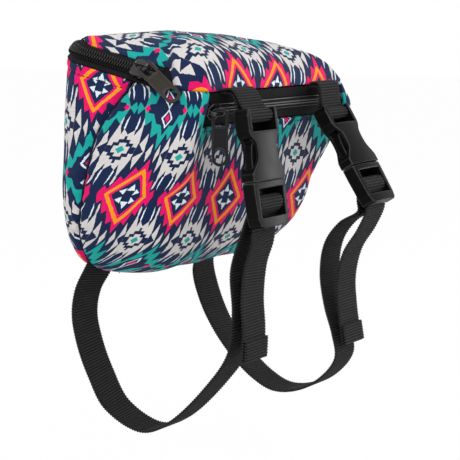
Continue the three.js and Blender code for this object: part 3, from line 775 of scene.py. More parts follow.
def moulding(name, tone, rough, metal=0.0, coat=0.0, shine=0.5):
    """Moulded plastic or painted metal: fine grain, uneven gloss, and edges painted lighter,
    partly as wear and partly as a highlight.
    """
    material, tree, shader = new_material(name)
    place = object_place(tree)
    base = tint(tone)
    worn = noise(tree, place, scale=60.0, detail=4.0)
    edge = Field(tree, attribute(tree, "edge").outputs["Fac"])
    mottled = paint(tree, base, worn, lighter(base, times=1.5, plus=0.004))
    # Painted highlight along the edges, which partly also stands for wear there.
    edge_wear_and_gleam = edge * (worn * 0.6 + 0.5)
    edge_worn_and_gleaming = paint(tree, mottled, edge_wear_and_gleam, lighter(base, times=4.0, plus=0.055))
    tree.links.new(edge_worn_and_gleaming, shader.inputs["Base Color"])
    uneven = (noise(tree, place, scale=140.0) - 0.5) * 0.14 + rough
    tree.links.new((uneven - edge * 0.08).socket, shader.inputs["Roughness"])
    set_sockets(shader, {
        "Metallic": metal, "Specular IOR Level": shine,
        "Coat Weight": coat, "Coat Roughness": 0.12})
    grain = noise(tree, place, scale=900.0, detail=2.0)
    bump(tree, shader, grain, strength=0.12, distance=0.0002)
    return material


# Woven finishes by colour, pitch of their threads and roughness, and moulded ones.
WOVEN = {
    "dark_lining": ("lining", 0.8, 0.8),
    "black_tape": ("tape", 1.3, 0.85),
    "ribbed_webbing": ("webbing", 1.1, 0.75),
    "sewing_thread_and_seam_shade": ("thread", 0.4, 0.8),
}
MOULDED = {
    "nylon_coil": {"tone": "coil", "rough": 0.28, "shine": 0.2},
    "gloss_slider": {"tone": "slider", "rough": 0.24, "metal": 0.3, "coat": 0.4},
    "olive_puller": {"tone": "puller", "rough": 0.42, "shine": 0.2},
    "black_puller": {"tone": "slider", "rough": 0.36, "shine": 0.12},
    "coil_highlight_lines": {"tone": "coil_highlight", "rough": 0.35, "shine": 0.4},
    "satin_buckle": {"tone": "buckle", "rough": 0.34, "shine": 0.03},
}


def finish(name):
    """One of the pouch's finishes, made when first asked for."""
    made = bpy.data.materials.get(name)
    if made:
        return made
    if name == "diamond_canvas":
        return printed_canvas()
    if name in WOVEN:
        tone, pitch, rough = WOVEN[name]
        rib = sizes()["rib"] if name == "ribbed_webbing" else None
        return woven(name, tone, pitch, rough, rib)
    return moulding(name, **MOULDED[name])


# Cloth.

def soft_waves(points, amount):
    """Slow undulation of stuffed cloth."""
    wave = 0.0
    for height, one, phase, other, lag in WAVES:
        wave = wave + height * np.sin(points @ one + phase) * np.sin(points @ other + lag)
    return amount * wave


def bell(value, middle, breadth):
    """1 at the middle, falling off to both sides."""
    return np.exp(-(((value - middle) / breadth) ** 2))


def seam_pull(distance, along, level):
    """How far cloth draws in near a seam, puckered beside it above the bottom corner."""
    groove = SEAM_DEPTH * bell(distance, 0, SEAM_BREADTH) * (0.3 + 0.7 * smoothstep(level, 2, 16))
    crease = np.sin(along * 0.74 + 1.2 * np.sin(along * 0.11)) + 0.6 * np.sin(along * 1.19 + 1.0)
    beside = bell(distance, PUCKER_PLACE, PUCKER_BREADTH) * smoothstep(level, 8, 26)
    return PUCKER * crease * beside - groove


def panel_runs(points):
    """Runs across a panel from its middle and up it, and the distance to its nearer end."""
    across = lengths(points, 1)
    middle = points.shape[1] // 2
    edge = np.minimum(across, across[:, -1:] - across)
    return across - across[:, middle:middle + 1], lengths(points), edge


def drawn_cloth(points, edge, v, level, waves):
    """How far a panel stands off its outline: drawn in at its seams and waved between them."""
    return seam_pull(edge, v, level) + soft_waves(points, waves) * smoothstep(edge, 0, SEAM_FADE)


def back_cloth():
    """Back panel with its two end gussets: grid of points and places on the flat cloth."""
    spread = np.linspace(-1, 1, 221)
    points = np.array([ring.signed(spread * ring.seam()) for ring in map(Ring, LEVELS)])
    u, v, edge = panel_runs(points)
    level = LEVELS[:, None]
    near_rim = smoothstep(level, 112, BACK_HEIGHT)
    on_back = smoothstep(points[..., 1], -6, -1)
    push = drawn_cloth(points, edge, v, level, BACK_WAVES)
    push = push * (1 - 0.6 * near_rim) * (1 - 0.8 * on_back)
    fold, sewn = bell(BACK_HEIGHT - level, 2.2, 1.6), bell(BACK_HEIGHT - level, RIM_HEM, 0.8)
    push = push + (0.5 * fold - 0.55 * sewn)
    points = points + outward(points) * push[..., None]
    return points, u, v


def front_runs(ring, wing, middle):
    """Runs over the right half of the front: from the seam to the pocket's end, and on inwards."""
    stop = ring.pocket_end()
    side = np.linspace(ring.seam(), stop, wing)
    return np.concatenate([side, np.linspace(stop, ring.stops[-1], middle)[1:]])


def fuller_corner(points):
    """Lets the front's right corner stand out below the lid, where the pouch is packed fullest."""
    x, y, z = np.moveaxis(points, -1, 0)
    share = smoothstep(x, 66, 82) * smoothstep(-y, 58, 86) * bell(z, 90, 9.5)
    return points + RIGHT_FULLNESS * share[..., None] * np.array([0.5, -0.87, 0.0])


def under_rows(foot, wing):
    """Rows from the bottom seam out to the front panel's foot, and how many end columns fold."""
    reach = np.abs(foot[:, 0])
    widest = int(np.argmax(reach[:wing]))
    hidden = np.interp(reach, reach[:widest + 1], foot[:widest + 1, 1])
    start = np.where(reach > reach[0], hidden, BOTTOM_SEAM)
    rows = np.repeat(foot[None], 8, axis=0)
    rows[..., 1] = lerp(foot[:, 1], start, np.linspace(1, 0, 9)[:-1, None])
    return rows, widest


def front_cloth():
    """Front and bottom panel, which turns the corners onto the ends."""
    wing, middle = 60, 90
    notch = POCKET_TOP * BACK_HEIGHT / rim_height(np.array(-POCKET_TOP_DEPTH))
    low = LEVELS[LEVELS < notch - 0.4]
    levels = np.concatenate([low, [notch], LEVELS[LEVELS > notch + 0.4]])
    rows = []
    for ring in map(Ring, levels):
        right = ring.at(front_runs(ring, wing, middle))
        rows.append(np.concatenate([right[:-1] * (-1, 1, 1), right[::-1]]))
    points = fuller_corner(np.array(rows))
    under, folded = under_rows(points[0], wing)
    points = np.concatenate([under, points])
    u, v, edge = panel_runs(points)
    v = v - np.array([np.interp(PRINT_LEVEL, z, run) for z, run in zip(points[..., 2].T, v.T)])
    level = np.concatenate([np.zeros(len(under)), levels])[:, None]
    push = drawn_cloth(points, edge, v, level, FRONT_WAVES)
    x = points[..., 0]
    by_pocket = smoothstep(level, notch - 10, notch) * (1 - smoothstep(np.abs(x), 62, 82))
    push = push * (1 - by_pocket)
    push[:len(under)] *= 0.2
    points = points + outward(points) * push[..., None]
    lean, rise = FRONT_SKEW
    u, v = np.interp(u, *FRONT_EASE) - lean * v, v + rise * (x - FRONT_SKEW_FROM)
    columns = points.shape[1]
    top = len(under) + len(low)

    def keep(i, j):
        if i < len(under):
            return folded <= j < columns - 1 - folded
        return i < top or j < wing - 1 or j >= columns - wing

    return points, u, v, keep


def main_zip_ways(along):
    """The way in from a level line of the rim, and the main zip's ways across and out there."""
    inward = np.stack([along[:, 1], -along[:, 0], 0 * along[:, 0]], axis=1)
    across = inward * math.cos(MAIN_TILT) + UP * math.sin(MAIN_TILT)
    return inward, across, UP * math.cos(MAIN_TILT) - inward * math.sin(MAIN_TILT)


def lid_edge():
    """The pouch's rim all round, the lid's edge above it and the way in from the rim."""
    ring = Ring(BACK_HEIGHT)
    right = ring.at(np.linspace(0, ring.stops[-1], 181))
    rim = np.concatenate([right, (right[1:-1] * (-1, 1, 1))[::-1]])
    along = unit((np.roll(rim, -2, axis=0) - np.roll(rim, 2, axis=0)) * (1, 1, 0))
    inward, across, _ = main_zip_ways(along)
    end = np.where(rim[:, 0] < 0, *MAIN_ENDS)
    lift = smoothstep(rim[:, 1], np.maximum(-DEPTH, -end - END_FOLD), -end - 1)
    edge = rim + across * ((MAIN_TAPE + TAPE_MARGIN) * lift)[:, None] + UP * TAPE_MARGIN
    return rim, edge, inward


def lid_cloth():
    """Lid: a crown falling to the zip at the back and ends, and rolled down to the front seam."""
    rim, edge, _ = lid_edge()
    front = smoothstep(-rim[:, 1], MAIN_ENDS[0] - 12, DEPTH)
    side = smoothstep(rim[:, 0], -60, 60)
    fullness, roll = lerp(*FULLNESS, side), lerp(*ROLL, side)
    shares = np.sin(np.linspace(0.02, 1, 64) * math.pi / 2)[:, None]
    soft = 1 - shares ** fullness
    rolled = np.maximum(0, 1 - shares ** roll) ** (1 / roll)
    plan = CROWN + (edge - CROWN)[None] * shares[..., None]
    points = plan.copy()
    points[..., 2] = lerp(edge[:, 2], CROWN[2], lerp(soft, rolled, front))
    z = points[..., 2]
    calm = 0.5 * (1 - smoothstep(shares[1:-1], 0.6, 0.97))
    for _ in range(CALM_ROUNDS):
        around = sum(np.roll(z, step, 1) for step in (4, -4, 1, -1))[1:-1] / 4
        along = (z[:-2] + z[2:]) / 2
        z[1:-1] += calm * ((around + along) / 2 - z[1:-1])
        z[0] = z[1].mean()
    run = lengths(points)
    flat = (plan - CROWN)[..., :2]
    planar = np.maximum(np.linalg.norm(flat, axis=-1), 1e-6)
    stretch = (run + np.linalg.norm(flat[0], axis=-1)) / planar
    u = CROWN[0] + (points[..., 0] - CROWN[0]) * stretch
    v = (points[..., 1] - CROWN[1]) * stretch
    u = LID_EASE * (u - LID_SKEW * v)
    to_edge = run[-1] - run
    border = 0.4 * bell(to_edge, 1.4, 1.2)
    push = soft_waves(points, LID_WAVES) * smoothstep(to_edge, 2, 16) + border
    points = points + outward(points) * push[..., None]
    return points, u, v


def cloth_piece(name, points, u, v, faces, cut=(0.0, 0.0)):
    """A panel of padded cloth, with its own place in the print."""
    flat = np.stack([u + cut[0], v + cut[1], 0 * u], axis=-1).reshape(-1, 3)
    piece = add_piece(name, points.reshape(-1, 3), faces, flat)
    mesh = piece.data
    middle = Vector(to_frame(POUCH_MIDDLE))
    facing = sum((face.center - middle).dot(face.normal) * face.area for face in mesh.polygons)
    if facing < 0:
        mesh.flip_normals()
    thick = piece.modifiers.new("Padding", "SOLIDIFY")
    thick.thickness = bpy.context.scene.pouch_sizes.cloth
    thick.offset = -1
    bake(piece)
    return piece


# Zips.

def main_zip_line(step):
    """Stations along the main zip, from the left front round the back to the right front."""
    turn = np.linspace(math.pi, math.pi / 2, 24)
    corner = BACK_CORNER * np.stack([np.cos(turn), np.sin(turn)], axis=1)
    corner += (BACK_CORNER - RIM_HALF_LENGTH, -BACK_CORNER)
    left = (-RIM_HALF_LENGTH, -MAIN_ENDS[0])
    right = [(RIM_HALF_LENGTH, -KNEE_DEPTH), (RIM_HALF_LENGTH, -MAIN_ENDS[1])]
    plan = np.concatenate([[left], corner, corner[::-1] * (-1, 1), right])
    line = np.column_stack([plan, rim_height(plan[:, 1])])
    at, run = resample(line, step)
    _, across, out = main_zip_ways(unit(np.gradient(at, axis=0) * (1, 1, 0)))
    return (at + across * MAIN_TAPE / 2, across, out), run


def pocket_zip_line(step, reach):
    """Stations along the pocket zip, from left to right."""
    x = np.linspace(-reach, reach, int(2 * reach / step) + 1)
    across = np.tile((0, -math.sin(POCKET_LEAN), math.cos(POCKET_LEAN)), (len(x), 1))
    out = np.tile((0, -math.cos(POCKET_LEAN), -math.sin(POCKET_LEAN)), (len(x), 1))
    at = np.column_stack([x, np.full(len(x), -DEPTH), np.full(len(x), FRONT_HEIGHT)])
    at = at - across * POCKET_TAPE / (2 * math.cos(POCKET_LEAN)) - out * POCKET_SUNK
    return (at, across, out), x + reach


def swept_piece(name, stations, section, run):
    """A piece with one section all along, or a section for each station."""
    points, faces = sweep(stations, section)
    columns = len(faces[-1])
    width = np.asarray(section)[..., 0]
    u = np.broadcast_to(width, (len(run), columns)).ravel()
    flat = np.stack([u, np.repeat(run, columns), 0 * u], axis=1)
    return add_piece(name, points, faces, flat)


# Webbing.

def strap_curve(points, steps):
    """A centripetal Catmull-Rom curve, with each point's place in the list."""
    points = np.asarray(points, float)
    ends = np.concatenate([[2 * points[0] - points[1]], points, [2 * points[-1] - points[-2]]])
    gaps = np.sqrt(np.maximum(np.linalg.norm(np.diff(ends, axis=0), axis=1), 1e-6))
    line, place = [], []
    for i in range(len(points) - 1):
        p0, p1, p2, p3 = ends[i:i + 4]
        d0, d1, d2 = gaps[i:i + 3]
        v1 = ((p1 - p0) / d0 - (p2 - p0) / (d0 + d1) + (p2 - p1) / d1) * d1
        v2 = ((p2 - p1) / d1 - (p3 - p1) / (d1 + d2) + (p3 - p2) / d2) * d1
        for t in np.linspace(0, 1, steps, endpoint=False):
            line.append(between(p1, p2, v1, v2, t))
            place.append(i + t)
    return np.array([*line, points[-1]]), np.array([*place, len(points) - 1.0])


def buckle_matrix(buckle):
    """From a buckle's own axes, bar at the origin and Z out of its face, to pouch millimetres."""
    turn = Matrix.Rotation(math.radians(90 - buckle["lean"]), 4, "X")
    return Matrix.Translation((buckle["side"] * STRAP_X, *buckle["bar"])) @ turn


def in_pouch(matrix, points):
    return np.array([matrix @ Vector(p) for p in points])


def web_section(size, ribs):
    """Webbing's section at each station: a flat strip whose faces rise and fall with its ribs."""
    x = np.concatenate([WEB_ACROSS, WEB_ACROSS[-2:0:-1]]) * size["webbing"] / 2
    flank = len(WEB_ACROSS) - 2
    face = np.repeat([0, 1, 0, -1], [1, flank, 1, flank]) * size["webbing_thick"] / 2
    height = face * (WEB_RISE[0] + WEB_RISE[1] * ribs[:, None])
    return np.stack([np.broadcast_to(x, height.shape), height], axis=-1)


def webbing_piece(name, line, lean):
    """Ribbed webbing along a line, its breadth along X apart from a lean at each point."""
    size = sizes()
    at, run = resample(line, size["rib"] / 4)
    angle = np.interp(run, lengths(line), lean)
    across = np.stack([np.cos(angle), 0 * angle, np.sin(angle)], axis=1)
    tangent = unit(np.gradient(at, axis=0))
    across = unit(across - tangent * np.sum(across * tangent, axis=1)[:, None])
    out = unit(np.cross(tangent, across))
    ribs = np.cos(run * 2 * math.pi / size["rib"])
    return swept_piece(name, (at, across, out), web_section(size, ribs), run), at


def hemmed(line):
    """A webbing line whose end turns back on itself as a hem, with no lean."""
    run = lengths(line)
    tangent = unit(np.gradient(line, axis=0))
    out = unit(np.cross(tangent, (1.0, 0.0, 0.0)))
    gap = sizes()["webbing_thick"] + HEM_GAP
    turn = np.linspace(0, math.pi, 7)[1:-1, None]
    bend = out[-1] * (1 - np.cos(turn)) + tangent[-1] * np.sin(turn)
    back = (line + out * gap)[run > run[-1] - TAIL_HEM][::-1]
    line = np.concatenate([line, line[-1] + bend * gap / 2, back])
    return line, np.zeros(len(line))


# Moulded fittings.

def surface(mesh):
    """A mesh's points and normals."""
    points, normals = np.empty(3 * len(mesh.vertices)), np.empty(3 * len(mesh.vertices))
    mesh.vertices.foreach_get("co", points)
    mesh.vertices.foreach_get("normal", normals)
    return points.reshape(-1, 3), normals.reshape(-1, 3)


def reshape(mesh, points):
    mesh.vertices.foreach_set("co", np.asarray(points, float).ravel())
    mesh.update()


def mark_edges(mesh):
    """Keeps at each point how sharply the surface turns outward, for the wear and painted
    highlight on its edges.
    """
    points, normals = surface(mesh)
    count = len(points)
    ends = np.empty(2 * len(mesh.edges), np.int32)
    mesh.edges.foreach_get("vertices", ends)
    here = np.concatenate([ends[0::2], ends[1::2]])
    there = np.concatenate([ends[1::2], ends[0::2]])
    near = np.bincount(here, minlength=count)
    fall = np.sum((points[here] - points[there]) * normals[here], axis=1)
    turn = np.bincount(here, fall, count) / near
    for _ in range(2):
        turn = (turn + np.bincount(here, turn[there], count) / near) / 2
    edge = np.clip(turn / np.percentile(turn, 97), 0, 1) ** 2
    layer = mesh.attributes.new("edge", "FLOAT", "POINT")
    layer.data.foreach_set("value", edge.astype(np.float32))


def moulded(node, name, mould, change=None):
    """A moulding made from the solid's own shape, with its edges rounded."""
    voxel, rounds = MOULDS[mould]
    piece = bpy.data.objects.new(name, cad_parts[node].data.copy())
    bpy.context.scene.collection.objects.link(piece)
    fuse = piece.modifiers.new("Moulding", "REMESH")
    fuse.mode = "VOXEL"
    fuse.voxel_size = voxel / 1000
    soften = piece.modifiers.new("Rounding", "SMOOTH")
    soften.factor = 0.5
    soften.iterations = rounds
    bake(piece)
    if change:
        change(piece.data)
    mark_edges(piece.data)
    return piece


def pressed_faces(mesh):
    """Presses a flat tab's two faces in, but for a rim round its outline and its holes."""
    points, normals = surface(mesh)
    flat = np.linalg.svd(points - points.mean(axis=0), full_matrices=False)[2][2]
    facing = normals @ flat
    wall = np.flatnonzero(np.abs(facing) < 0.6)
    tree = KDTree(len(wall))
    for i in wall:
        tree.insert(points[i], int(i))
    tree.balance()
    far = np.array([tree.find(p)[2] for p in points])
    inner = smoothstep(far, 0.7 * RIM_BREADTH, 1.3 * RIM_BREADTH)
    share = inner * smoothstep(np.abs(facing), 0.6, 0.9)
    reshape(mesh, points - flat * (np.sign(facing) * share * PRESS_DEPTH)[:, None])


# Operators.

class POUCH_OT_stage(bpy.types.Operator):
    """Set up the floor, lights and camera"""

    bl_idname = "pouch.stage"
    bl_label = "Stage"

    def execute(self, context):
        scene = context.scene
        scene.view_settings.view_transform = "Standard"
        self.camera(scene)
        self.lights(scene)
        self.floor()
        self.surroundings(scene)
        return {"FINISHED"}

    def camera(self, scene):
        azimuth, elevation = map(math.radians, CAMERA_ANGLES)
        aim = Vector(CAMERA_AIM) / 1000
        back = Vector((
            math.sin(azimuth) * math.cos(elevation),
            -math.cos(azimuth) * math.cos(elevation),
            math.sin(elevation)))
        data = bpy.data.cameras.new("camera")
        data.lens = CAMERA_LENS
        data.sensor_width = 36
        data.clip_start = 0.05
        eye = bpy.data.objects.new("camera", data)
        eye.location = aim + back * CAMERA_DISTANCE / 1000
        eye.rotation_euler = (-back).to_track_quat("-Z", "Y").to_euler()
        scene.collection.objects.link(eye)
        scene.camera = eye

    def lights(self, scene):
        """Soft lamps, and a low strip that only shows as a gleam on the left buckle's face."""
        aim = Vector(CAMERA_AIM) / 1000
        for name, (place, breadth, power) in LAMPS.items():
            lamp = self.lamp(scene, name, place, aim, breadth, power)
            lamp.visible_glossy = name != "fill_light"
        breadth, height = STRIP_SIZE
        strip = self.lamp(
            scene, "strip_light", STRIP_PLACE, Vector(STRIP_AIM), breadth, STRIP_POWER)
        strip.data.shape = "RECTANGLE"
        strip.data.size_y = height
        strip.visible_diffuse = False

    def lamp(self, scene, name, place, aim, breadth, power):
        data = bpy.data.lights.new(name, "AREA")
        data.size = breadth
        data.energy = power
        lamp = bpy.data.objects.new(name, data)
        lamp.location = place
        lamp.rotation_euler = (aim - lamp.location).to_track_quat("-Z", "Y").to_euler()
        scene.collection.objects.link(lamp)
        return lamp

    def floor(self):
        corners = ((-1, -1), (1, -1), (1, 1), (-1, 1))
        points = [(FLOOR_REACH * x, FLOOR_REACH * y, FLOOR_LEVEL) for x, y in corners]
        floor = add_piece("floor", points, [(0, 1, 2, 3)])
        material, tree, shader = new_material("pale_floor")
        set_sockets(shader, {"Base Color": (0.9, 0.9, 0.9, 1), "Roughness": 0.9})
        glow = tree.nodes.new("ShaderNodeEmission")
        mix = tree.nodes.new("ShaderNodeMixShader")
        tree.links.new((self.seen(tree) * FLOOR_GLOW).socket, mix.inputs[0])
        tree.links.new(shader.outputs[0], mix.inputs[1])
        tree.links.new(glow.outputs[0], mix.inputs[2])
        tree.links.new(mix.outputs[0], tree.nodes["Material Output"].inputs["Surface"])
        floor.data.materials.append(material)

    def seen(self, tree):
        """1 for rays that show the surroundings themselves."""
        path = tree.nodes.new("ShaderNodeLightPath")
        straight, mirrored, through = (
            Field(tree, path.outputs[f"Is {kind} Ray"])
            for kind in ("Camera", "Glossy", "Transmission"))
        return straight.math("MAXIMUM", mirrored).math("MAXIMUM", through)

    def surroundings(self, scene):
        world = bpy.data.worlds.new("white_room")
        world.use_nodes = True
        tree = world.node_tree
        shade = tree.nodes["Background"]
        shade.inputs["Color"].default_value = (1, 1, 1, 1)
        strength = self.seen(tree) * (1 - ROOM_LIGHT) + ROOM_LIGHT
        tree.links.new(strength.socket, shade.inputs["Strength"])
        scene.world = world


class POUCH_OT_straps(bpy.types.Operator):
    """Run each strap from the bottom seam round to its buckle, with its free tail"""

    bl_idname = "pouch.straps"
    bl_label = "Straps"

    def execute(self, context):
        for side, buckle in BUCKLES.items():
            self.strap(side, buckle)
        return {"FINISHED"}

    def strap(self, side, buckle):
        x = buckle["side"] * STRAP_X
        route = [(x + shift, y, z) for shift, y, z in buckle["route"]]
        lock = in_pouch(buckle_matrix(buckle), [(0, MIDDLE_BAR + y, z) for y, z in LOCK])
        tail = [(x + shift, y, z) for shift, y, z in buckle["tail"]]
        line, place = strap_curve([*route, *lock, *tail], 24)
        sewn = line[0] - unit(line[1] - line[0]) * FOOT_SEWN
        line = np.concatenate([[sewn], line])
        place = np.concatenate([[0], place])
        lean = buckle["side"] * FOOT_ROLL * np.maximum(0, 1 - place / FOOT_POINTS)
        turn = len(route) + LOCK_TURN
        front = place <= turn + LOCK_OVERLAP
        strap, path = webbing_piece(f"{side}_strap_webbing", line[front], lean[front])
        loose, _ = webbing_piece(f"{side}_strap_tail", *hemmed(line[place >= turn]))
        start, end = ((x / 1000, depth, FOLLOW_LEVEL) for depth in FOLLOW_DEPTHS)
        for piece in (strap, loose):
            finish_piece(piece, "ribbed_webbing", "webbing", None)
            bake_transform(piece)
            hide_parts(f"{side}_strap")
        path = to_frame(path[::12])
        float(lengths(path)[-1])


class POUCH_OT_panels(bpy.types.Operator):
    """Sew the back panel with its gussets and the front and bottom panel"""

    bl_idname = "pouch.panels"
    bl_label = "Back and front panels"

    def execute(self, context):
        points, u, v = back_cloth()
        faces = grid_faces(*points.shape[:2])
        back = cloth_piece("back_canvas", points, u, v, faces, BACK_CUT)
        finish_piece(back, "diamond_canvas", "printed_canvas", "pouch", "back_panel")
        points, u, v, keep = front_cloth()
        faces = grid_faces(*points.shape[:2], keep=keep)
        front = cloth_piece("front_canvas", points, u, v, faces, FRONT_CUT)
        finish_piece(front, "diamond_canvas", "printed_canvas", "pouch", "front_panel")
        return {"FINISHED"}


class POUCH_OT_lid(bpy.types.Operator):
    """Sew the rolled lid panel"""

    bl_idname = "pouch.lid"
    bl_label = "Lid"

    def execute(self, context):
        points, u, v = lid_cloth()
        rows, count = points.shape[:2]
        faces = grid_faces(rows, count, closed=True)
        faces.append(tuple(reversed(range(count))))
        lid = cloth_piece("lid_canvas", points, u, v, faces, LID_CUT)
        finish_piece(lid, "diamond_canvas", "printed_canvas", "pouch", "lid_panel")
        return {"FINISHED"}


class POUCH_OT_zips(bpy.types.Operator):
    """Lay the zip tapes and coils"""

    bl_idname = "pouch.zips"
    bl_label = "Zip tapes and coils"

    def execute(self, context):
        self.main_zip()
        self.zip_ends()
        self.pocket_zip()
        return {"FINISHED"}

    def main_zip(self):
        stations, run = main_zip_line(1.2)
        edge = MAIN_TAPE / 2 - TAPE_MARGIN
        for name, x0, x1 in (("lid", MAIN_GAP, edge), ("body", -edge, -MAIN_GAP)):
            section = rounded_strip(x0, x1, 0, TAPE_THICK, TAPE_ROUND)
            tape = swept_piece(f"main_zip_{name}_webtape", stations, section, run)
            finish_piece(tape, "black_tape", "zip_tape", "pouch", f"main_zip_{name}_tape")
        section = rounded_strip(*COIL_BED, round_by=0.7, corner=4)
        bed = swept_piece("main_zip_coil_bed", stations, section, run)
        finish_piece(bed, "black_tape", "zip_tape", "pouch")
        for name, sign, first in (("lid", 1, 2), ("body", -1, 3)):
            points, faces = rods(self.coil_turns(sign, first), TURN_RADIUS, 8)
            coil = add_piece(f"main_zip_{name}_teeth", points, faces)
            finish_piece(coil, "nylon_coil", "zip_coil", "pouch", f"main_zip_{name}_coil")

    def coil_turns(self, sign, first):
        """Lines of one side's coil turns, which lie between those of the other side."""
        (at, across, out), _ = main_zip_line(sizes()["tooth"] / 2)
        along = unit(np.gradient(at, axis=0))
        wide, high = TURN_SIZE
        reach = (sign * wide * TURN_REACH)[:, None]
        lift = (COIL_LIFT + high * TURN_HEIGHT)[:, None]
        slant = (TURN_SLANT * TURN_REACH)[:, None]
        return [
            at[i] + across[i] * reach + out[i] * lift + along[i] * slant
            for i in range(first, len(at) - 2, 2)]

    def zip_ends(self):
        """Closes the gap between lid and rim past each end of the main zip with folded tape."""
        rim, edge, inward = lid_edge()
        share = np.linspace(0, 1, 6)[:, None, None]
        for name, side, end in (("left", -1, MAIN_ENDS[0]), ("right", 1, MAIN_ENDS[1])):
            flank = side * rim[:, 0] > RIM_HALF_LENGTH - 1.2
            past = flank & (rim[:, 1] < 1 - end) & (rim[:, 1] > -end - END_FOLD)
            low, high = rim[past] - (0, 0, 1.0), edge[past] + (0, 0, 1.0)
            inset = inward[past] * (1.1 - 0.6 * np.sin(math.pi * share))
            points = low + (high - low) * share + inset
            faces = grid_faces(*points.shape[:2])
            piece = cloth_piece(f"{name}_zip_end", points, points[..., 1], points[..., 2], faces)
            finish_piece(piece, "black_tape", "zip_tape", "pouch")

    def pocket_zip(self):
        stations, run = pocket_zip_line(1.5, POCKET_REACH - TAPE_MARGIN)
        edge = POCKET_TAPE / 2 - TAPE_MARGIN
        for name, sign in (("upper", 1), ("lower", -1)):
            x = sorted((sign * TAPE_MARGIN, sign * edge))
            section = rounded_strip(*x, 0, TAPE_THICK, TAPE_ROUND)
            tape = swept_piece(f"pocket_zip_{name}_webtape", stations, section, run)
            finish_piece(tape, "black_tape", "zip_tape", "pouch", f"pocket_zip_{name}_tape")
            x = sorted(sign * place for place in POCKET_RIDGE)
            section = rounded_strip(*x, *RIDGE_LIFT, round_by=0.9, corner=5)
            coil = swept_piece(f"pocket_zip_{name}_ridge", stations, section, run)
            finish_piece(coil, "black_tape", "zip_coil", "pouch", f"pocket_zip_{name}_coil")
            self.pocket_highlights(name, sign)

    def pocket_highlights(self, name, sign):
        """Light lines of painted highlight along the reversed coil: a toothed one by the slot and
        a fine one outside.
        """
        stations, run = pocket_zip_line(0.35, POCKET_REACH - 0.4)
        tooth = np.cos(run * 2 * math.pi / LINE_TOOTH)
        for part, (across, lift, radius, depth) in POCKET_HIGHLIGHTS.items():
            section = circle(8) * (radius + depth * tooth)[:, None, None] + (sign * across, lift)
            line = swept_piece(f"pocket_zip_{name}_{part}_line", stations, section, run)
            finish_piece(line, "coil_highlight_lines", "zip_coil", "pouch")


class POUCH_OT_sliders(bpy.types.Operator):
    """Make the sliders and pullers of both zips"""

    bl_idname = "pouch.sliders"
    bl_label = "Sliders and pullers"

    def execute(self, context):
        for name, enamel in (("main", "olive_puller"), ("pocket", "black_puller")):
            node = f"{name}_zip_slider"
            slider = moulded(node, f"{name}_slider_casting", "slider")
            finish_piece(slider, "gloss_slider", "zip_slider", f"{name}_slider", node)
            node = f"{name}_zip_puller"
            puller = moulded(node, f"{name}_puller_tab", "puller", pressed_faces)
            finish_piece(puller, enamel, "zip_puller", f"{name}_puller", node)
        return {"FINISHED"}


class POUCH_OT_buckles(bpy.types.Operator):
    """Make the buckle halves and the webbing tabs that carry them"""

    bl_idname = "pouch.buckles"
    bl_label = "Buckles"

    def execute(self, context):
        for side, buckle in BUCKLES.items():
            bodies = {"socket": "pouch", "plug": f"{side}_plug"}
            for half, body in bodies.items():
                node = f"{side}_buckle_{half}"
                piece = moulded(node, f"{side}_{half}_moulding", half, self.crown(buckle))
                finish_piece(piece, "satin_buckle", "buckle", body, node)
            for half, kind, *size in BUCKLE_WEBS:
                piece = self.web(f"{side}_{half}_{kind}", buckle, *size)
                finish_piece(piece, "satin_buckle", "buckle", bodies[half])
            self.tab(side, buckle)
        return {"FINISHED"}

    def crown(self, buckle):
        """A change that rounds a buckle's two faces off towards its sides."""
        place = np.array(buckle_matrix(buckle))

        def change(mesh):
            points, _ = surface(mesh)
            local = (1000 * points + (0, 0, MOUNT_HEIGHT) - place[:3, 3]) @ place[:3, :3]
            height = local[:, 2]
            drop = BUCKLE_CROWN * (local[:, 0] / BUCKLE_HALF_WIDTH) ** 2
            local[:, 2] -= np.sign(height) * drop * smoothstep(np.abs(height), 0.5, 5)
            reshape(mesh, to_frame(local @ place[:3, :3].T + place[:3, 3]))

        return change

    def web(self, name, buckle, half, along, thick):
        """A thin web across a buckle: a dark plate of painted shade behind a slot's webbing, or
        where the two halves meet.
        """
        place = np.array(buckle_matrix(buckle))
        x_axis, y_axis, z_axis = np.eye(3)
        steps = np.linspace(-half, half, 24)[:, None]
        stations = (steps * x_axis, 0 * steps + y_axis, 0 * steps + z_axis)
        points, faces = sweep(stations, rounded_strip(*along, *thick, round_by=0.2))
        return add_piece(name, points @ place[:3, :3].T + place[:3, 3], faces)

    def tab(self, side, buckle):
        """Webbing out of the lid seam, round the buckle's bar and back into the seam."""
        x = buckle["side"] * STRAP_X
        y, z = buckle["bar"]
        turns = np.radians(np.arange(80, 351, 30))
        loop = [(x, y + BAR_WRAP * math.cos(t), z + BAR_WRAP * math.sin(t)) for t in turns]
        out, back = (
            [(x, TAB_SEAM + depth, FRONT_HEIGHT + height) for depth, height in way]
            for way in (TAB_OUT, TAB_BACK))
        line, _ = strap_curve([*out, *loop, *back], 12)
        tab, _ = webbing_piece(f"{side}_tab_webbing", line, np.zeros(len(line)))
        finish_piece(tab, "ribbed_webbing", "webbing", "pouch", f"{side}_buckle_tab")


class POUCH_OT_pocket(bpy.types.Operator):
    """Give the pocket lining its cloth"""

    bl_idname = "pouch.pocket"
    bl_label = "Pocket lining"

    def execute(self, context):
        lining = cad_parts["pocket_lining"]
        lining.data.materials.clear()
        lining.data.materials.append(finish("dark_lining"))
        return {"FINISHED"}


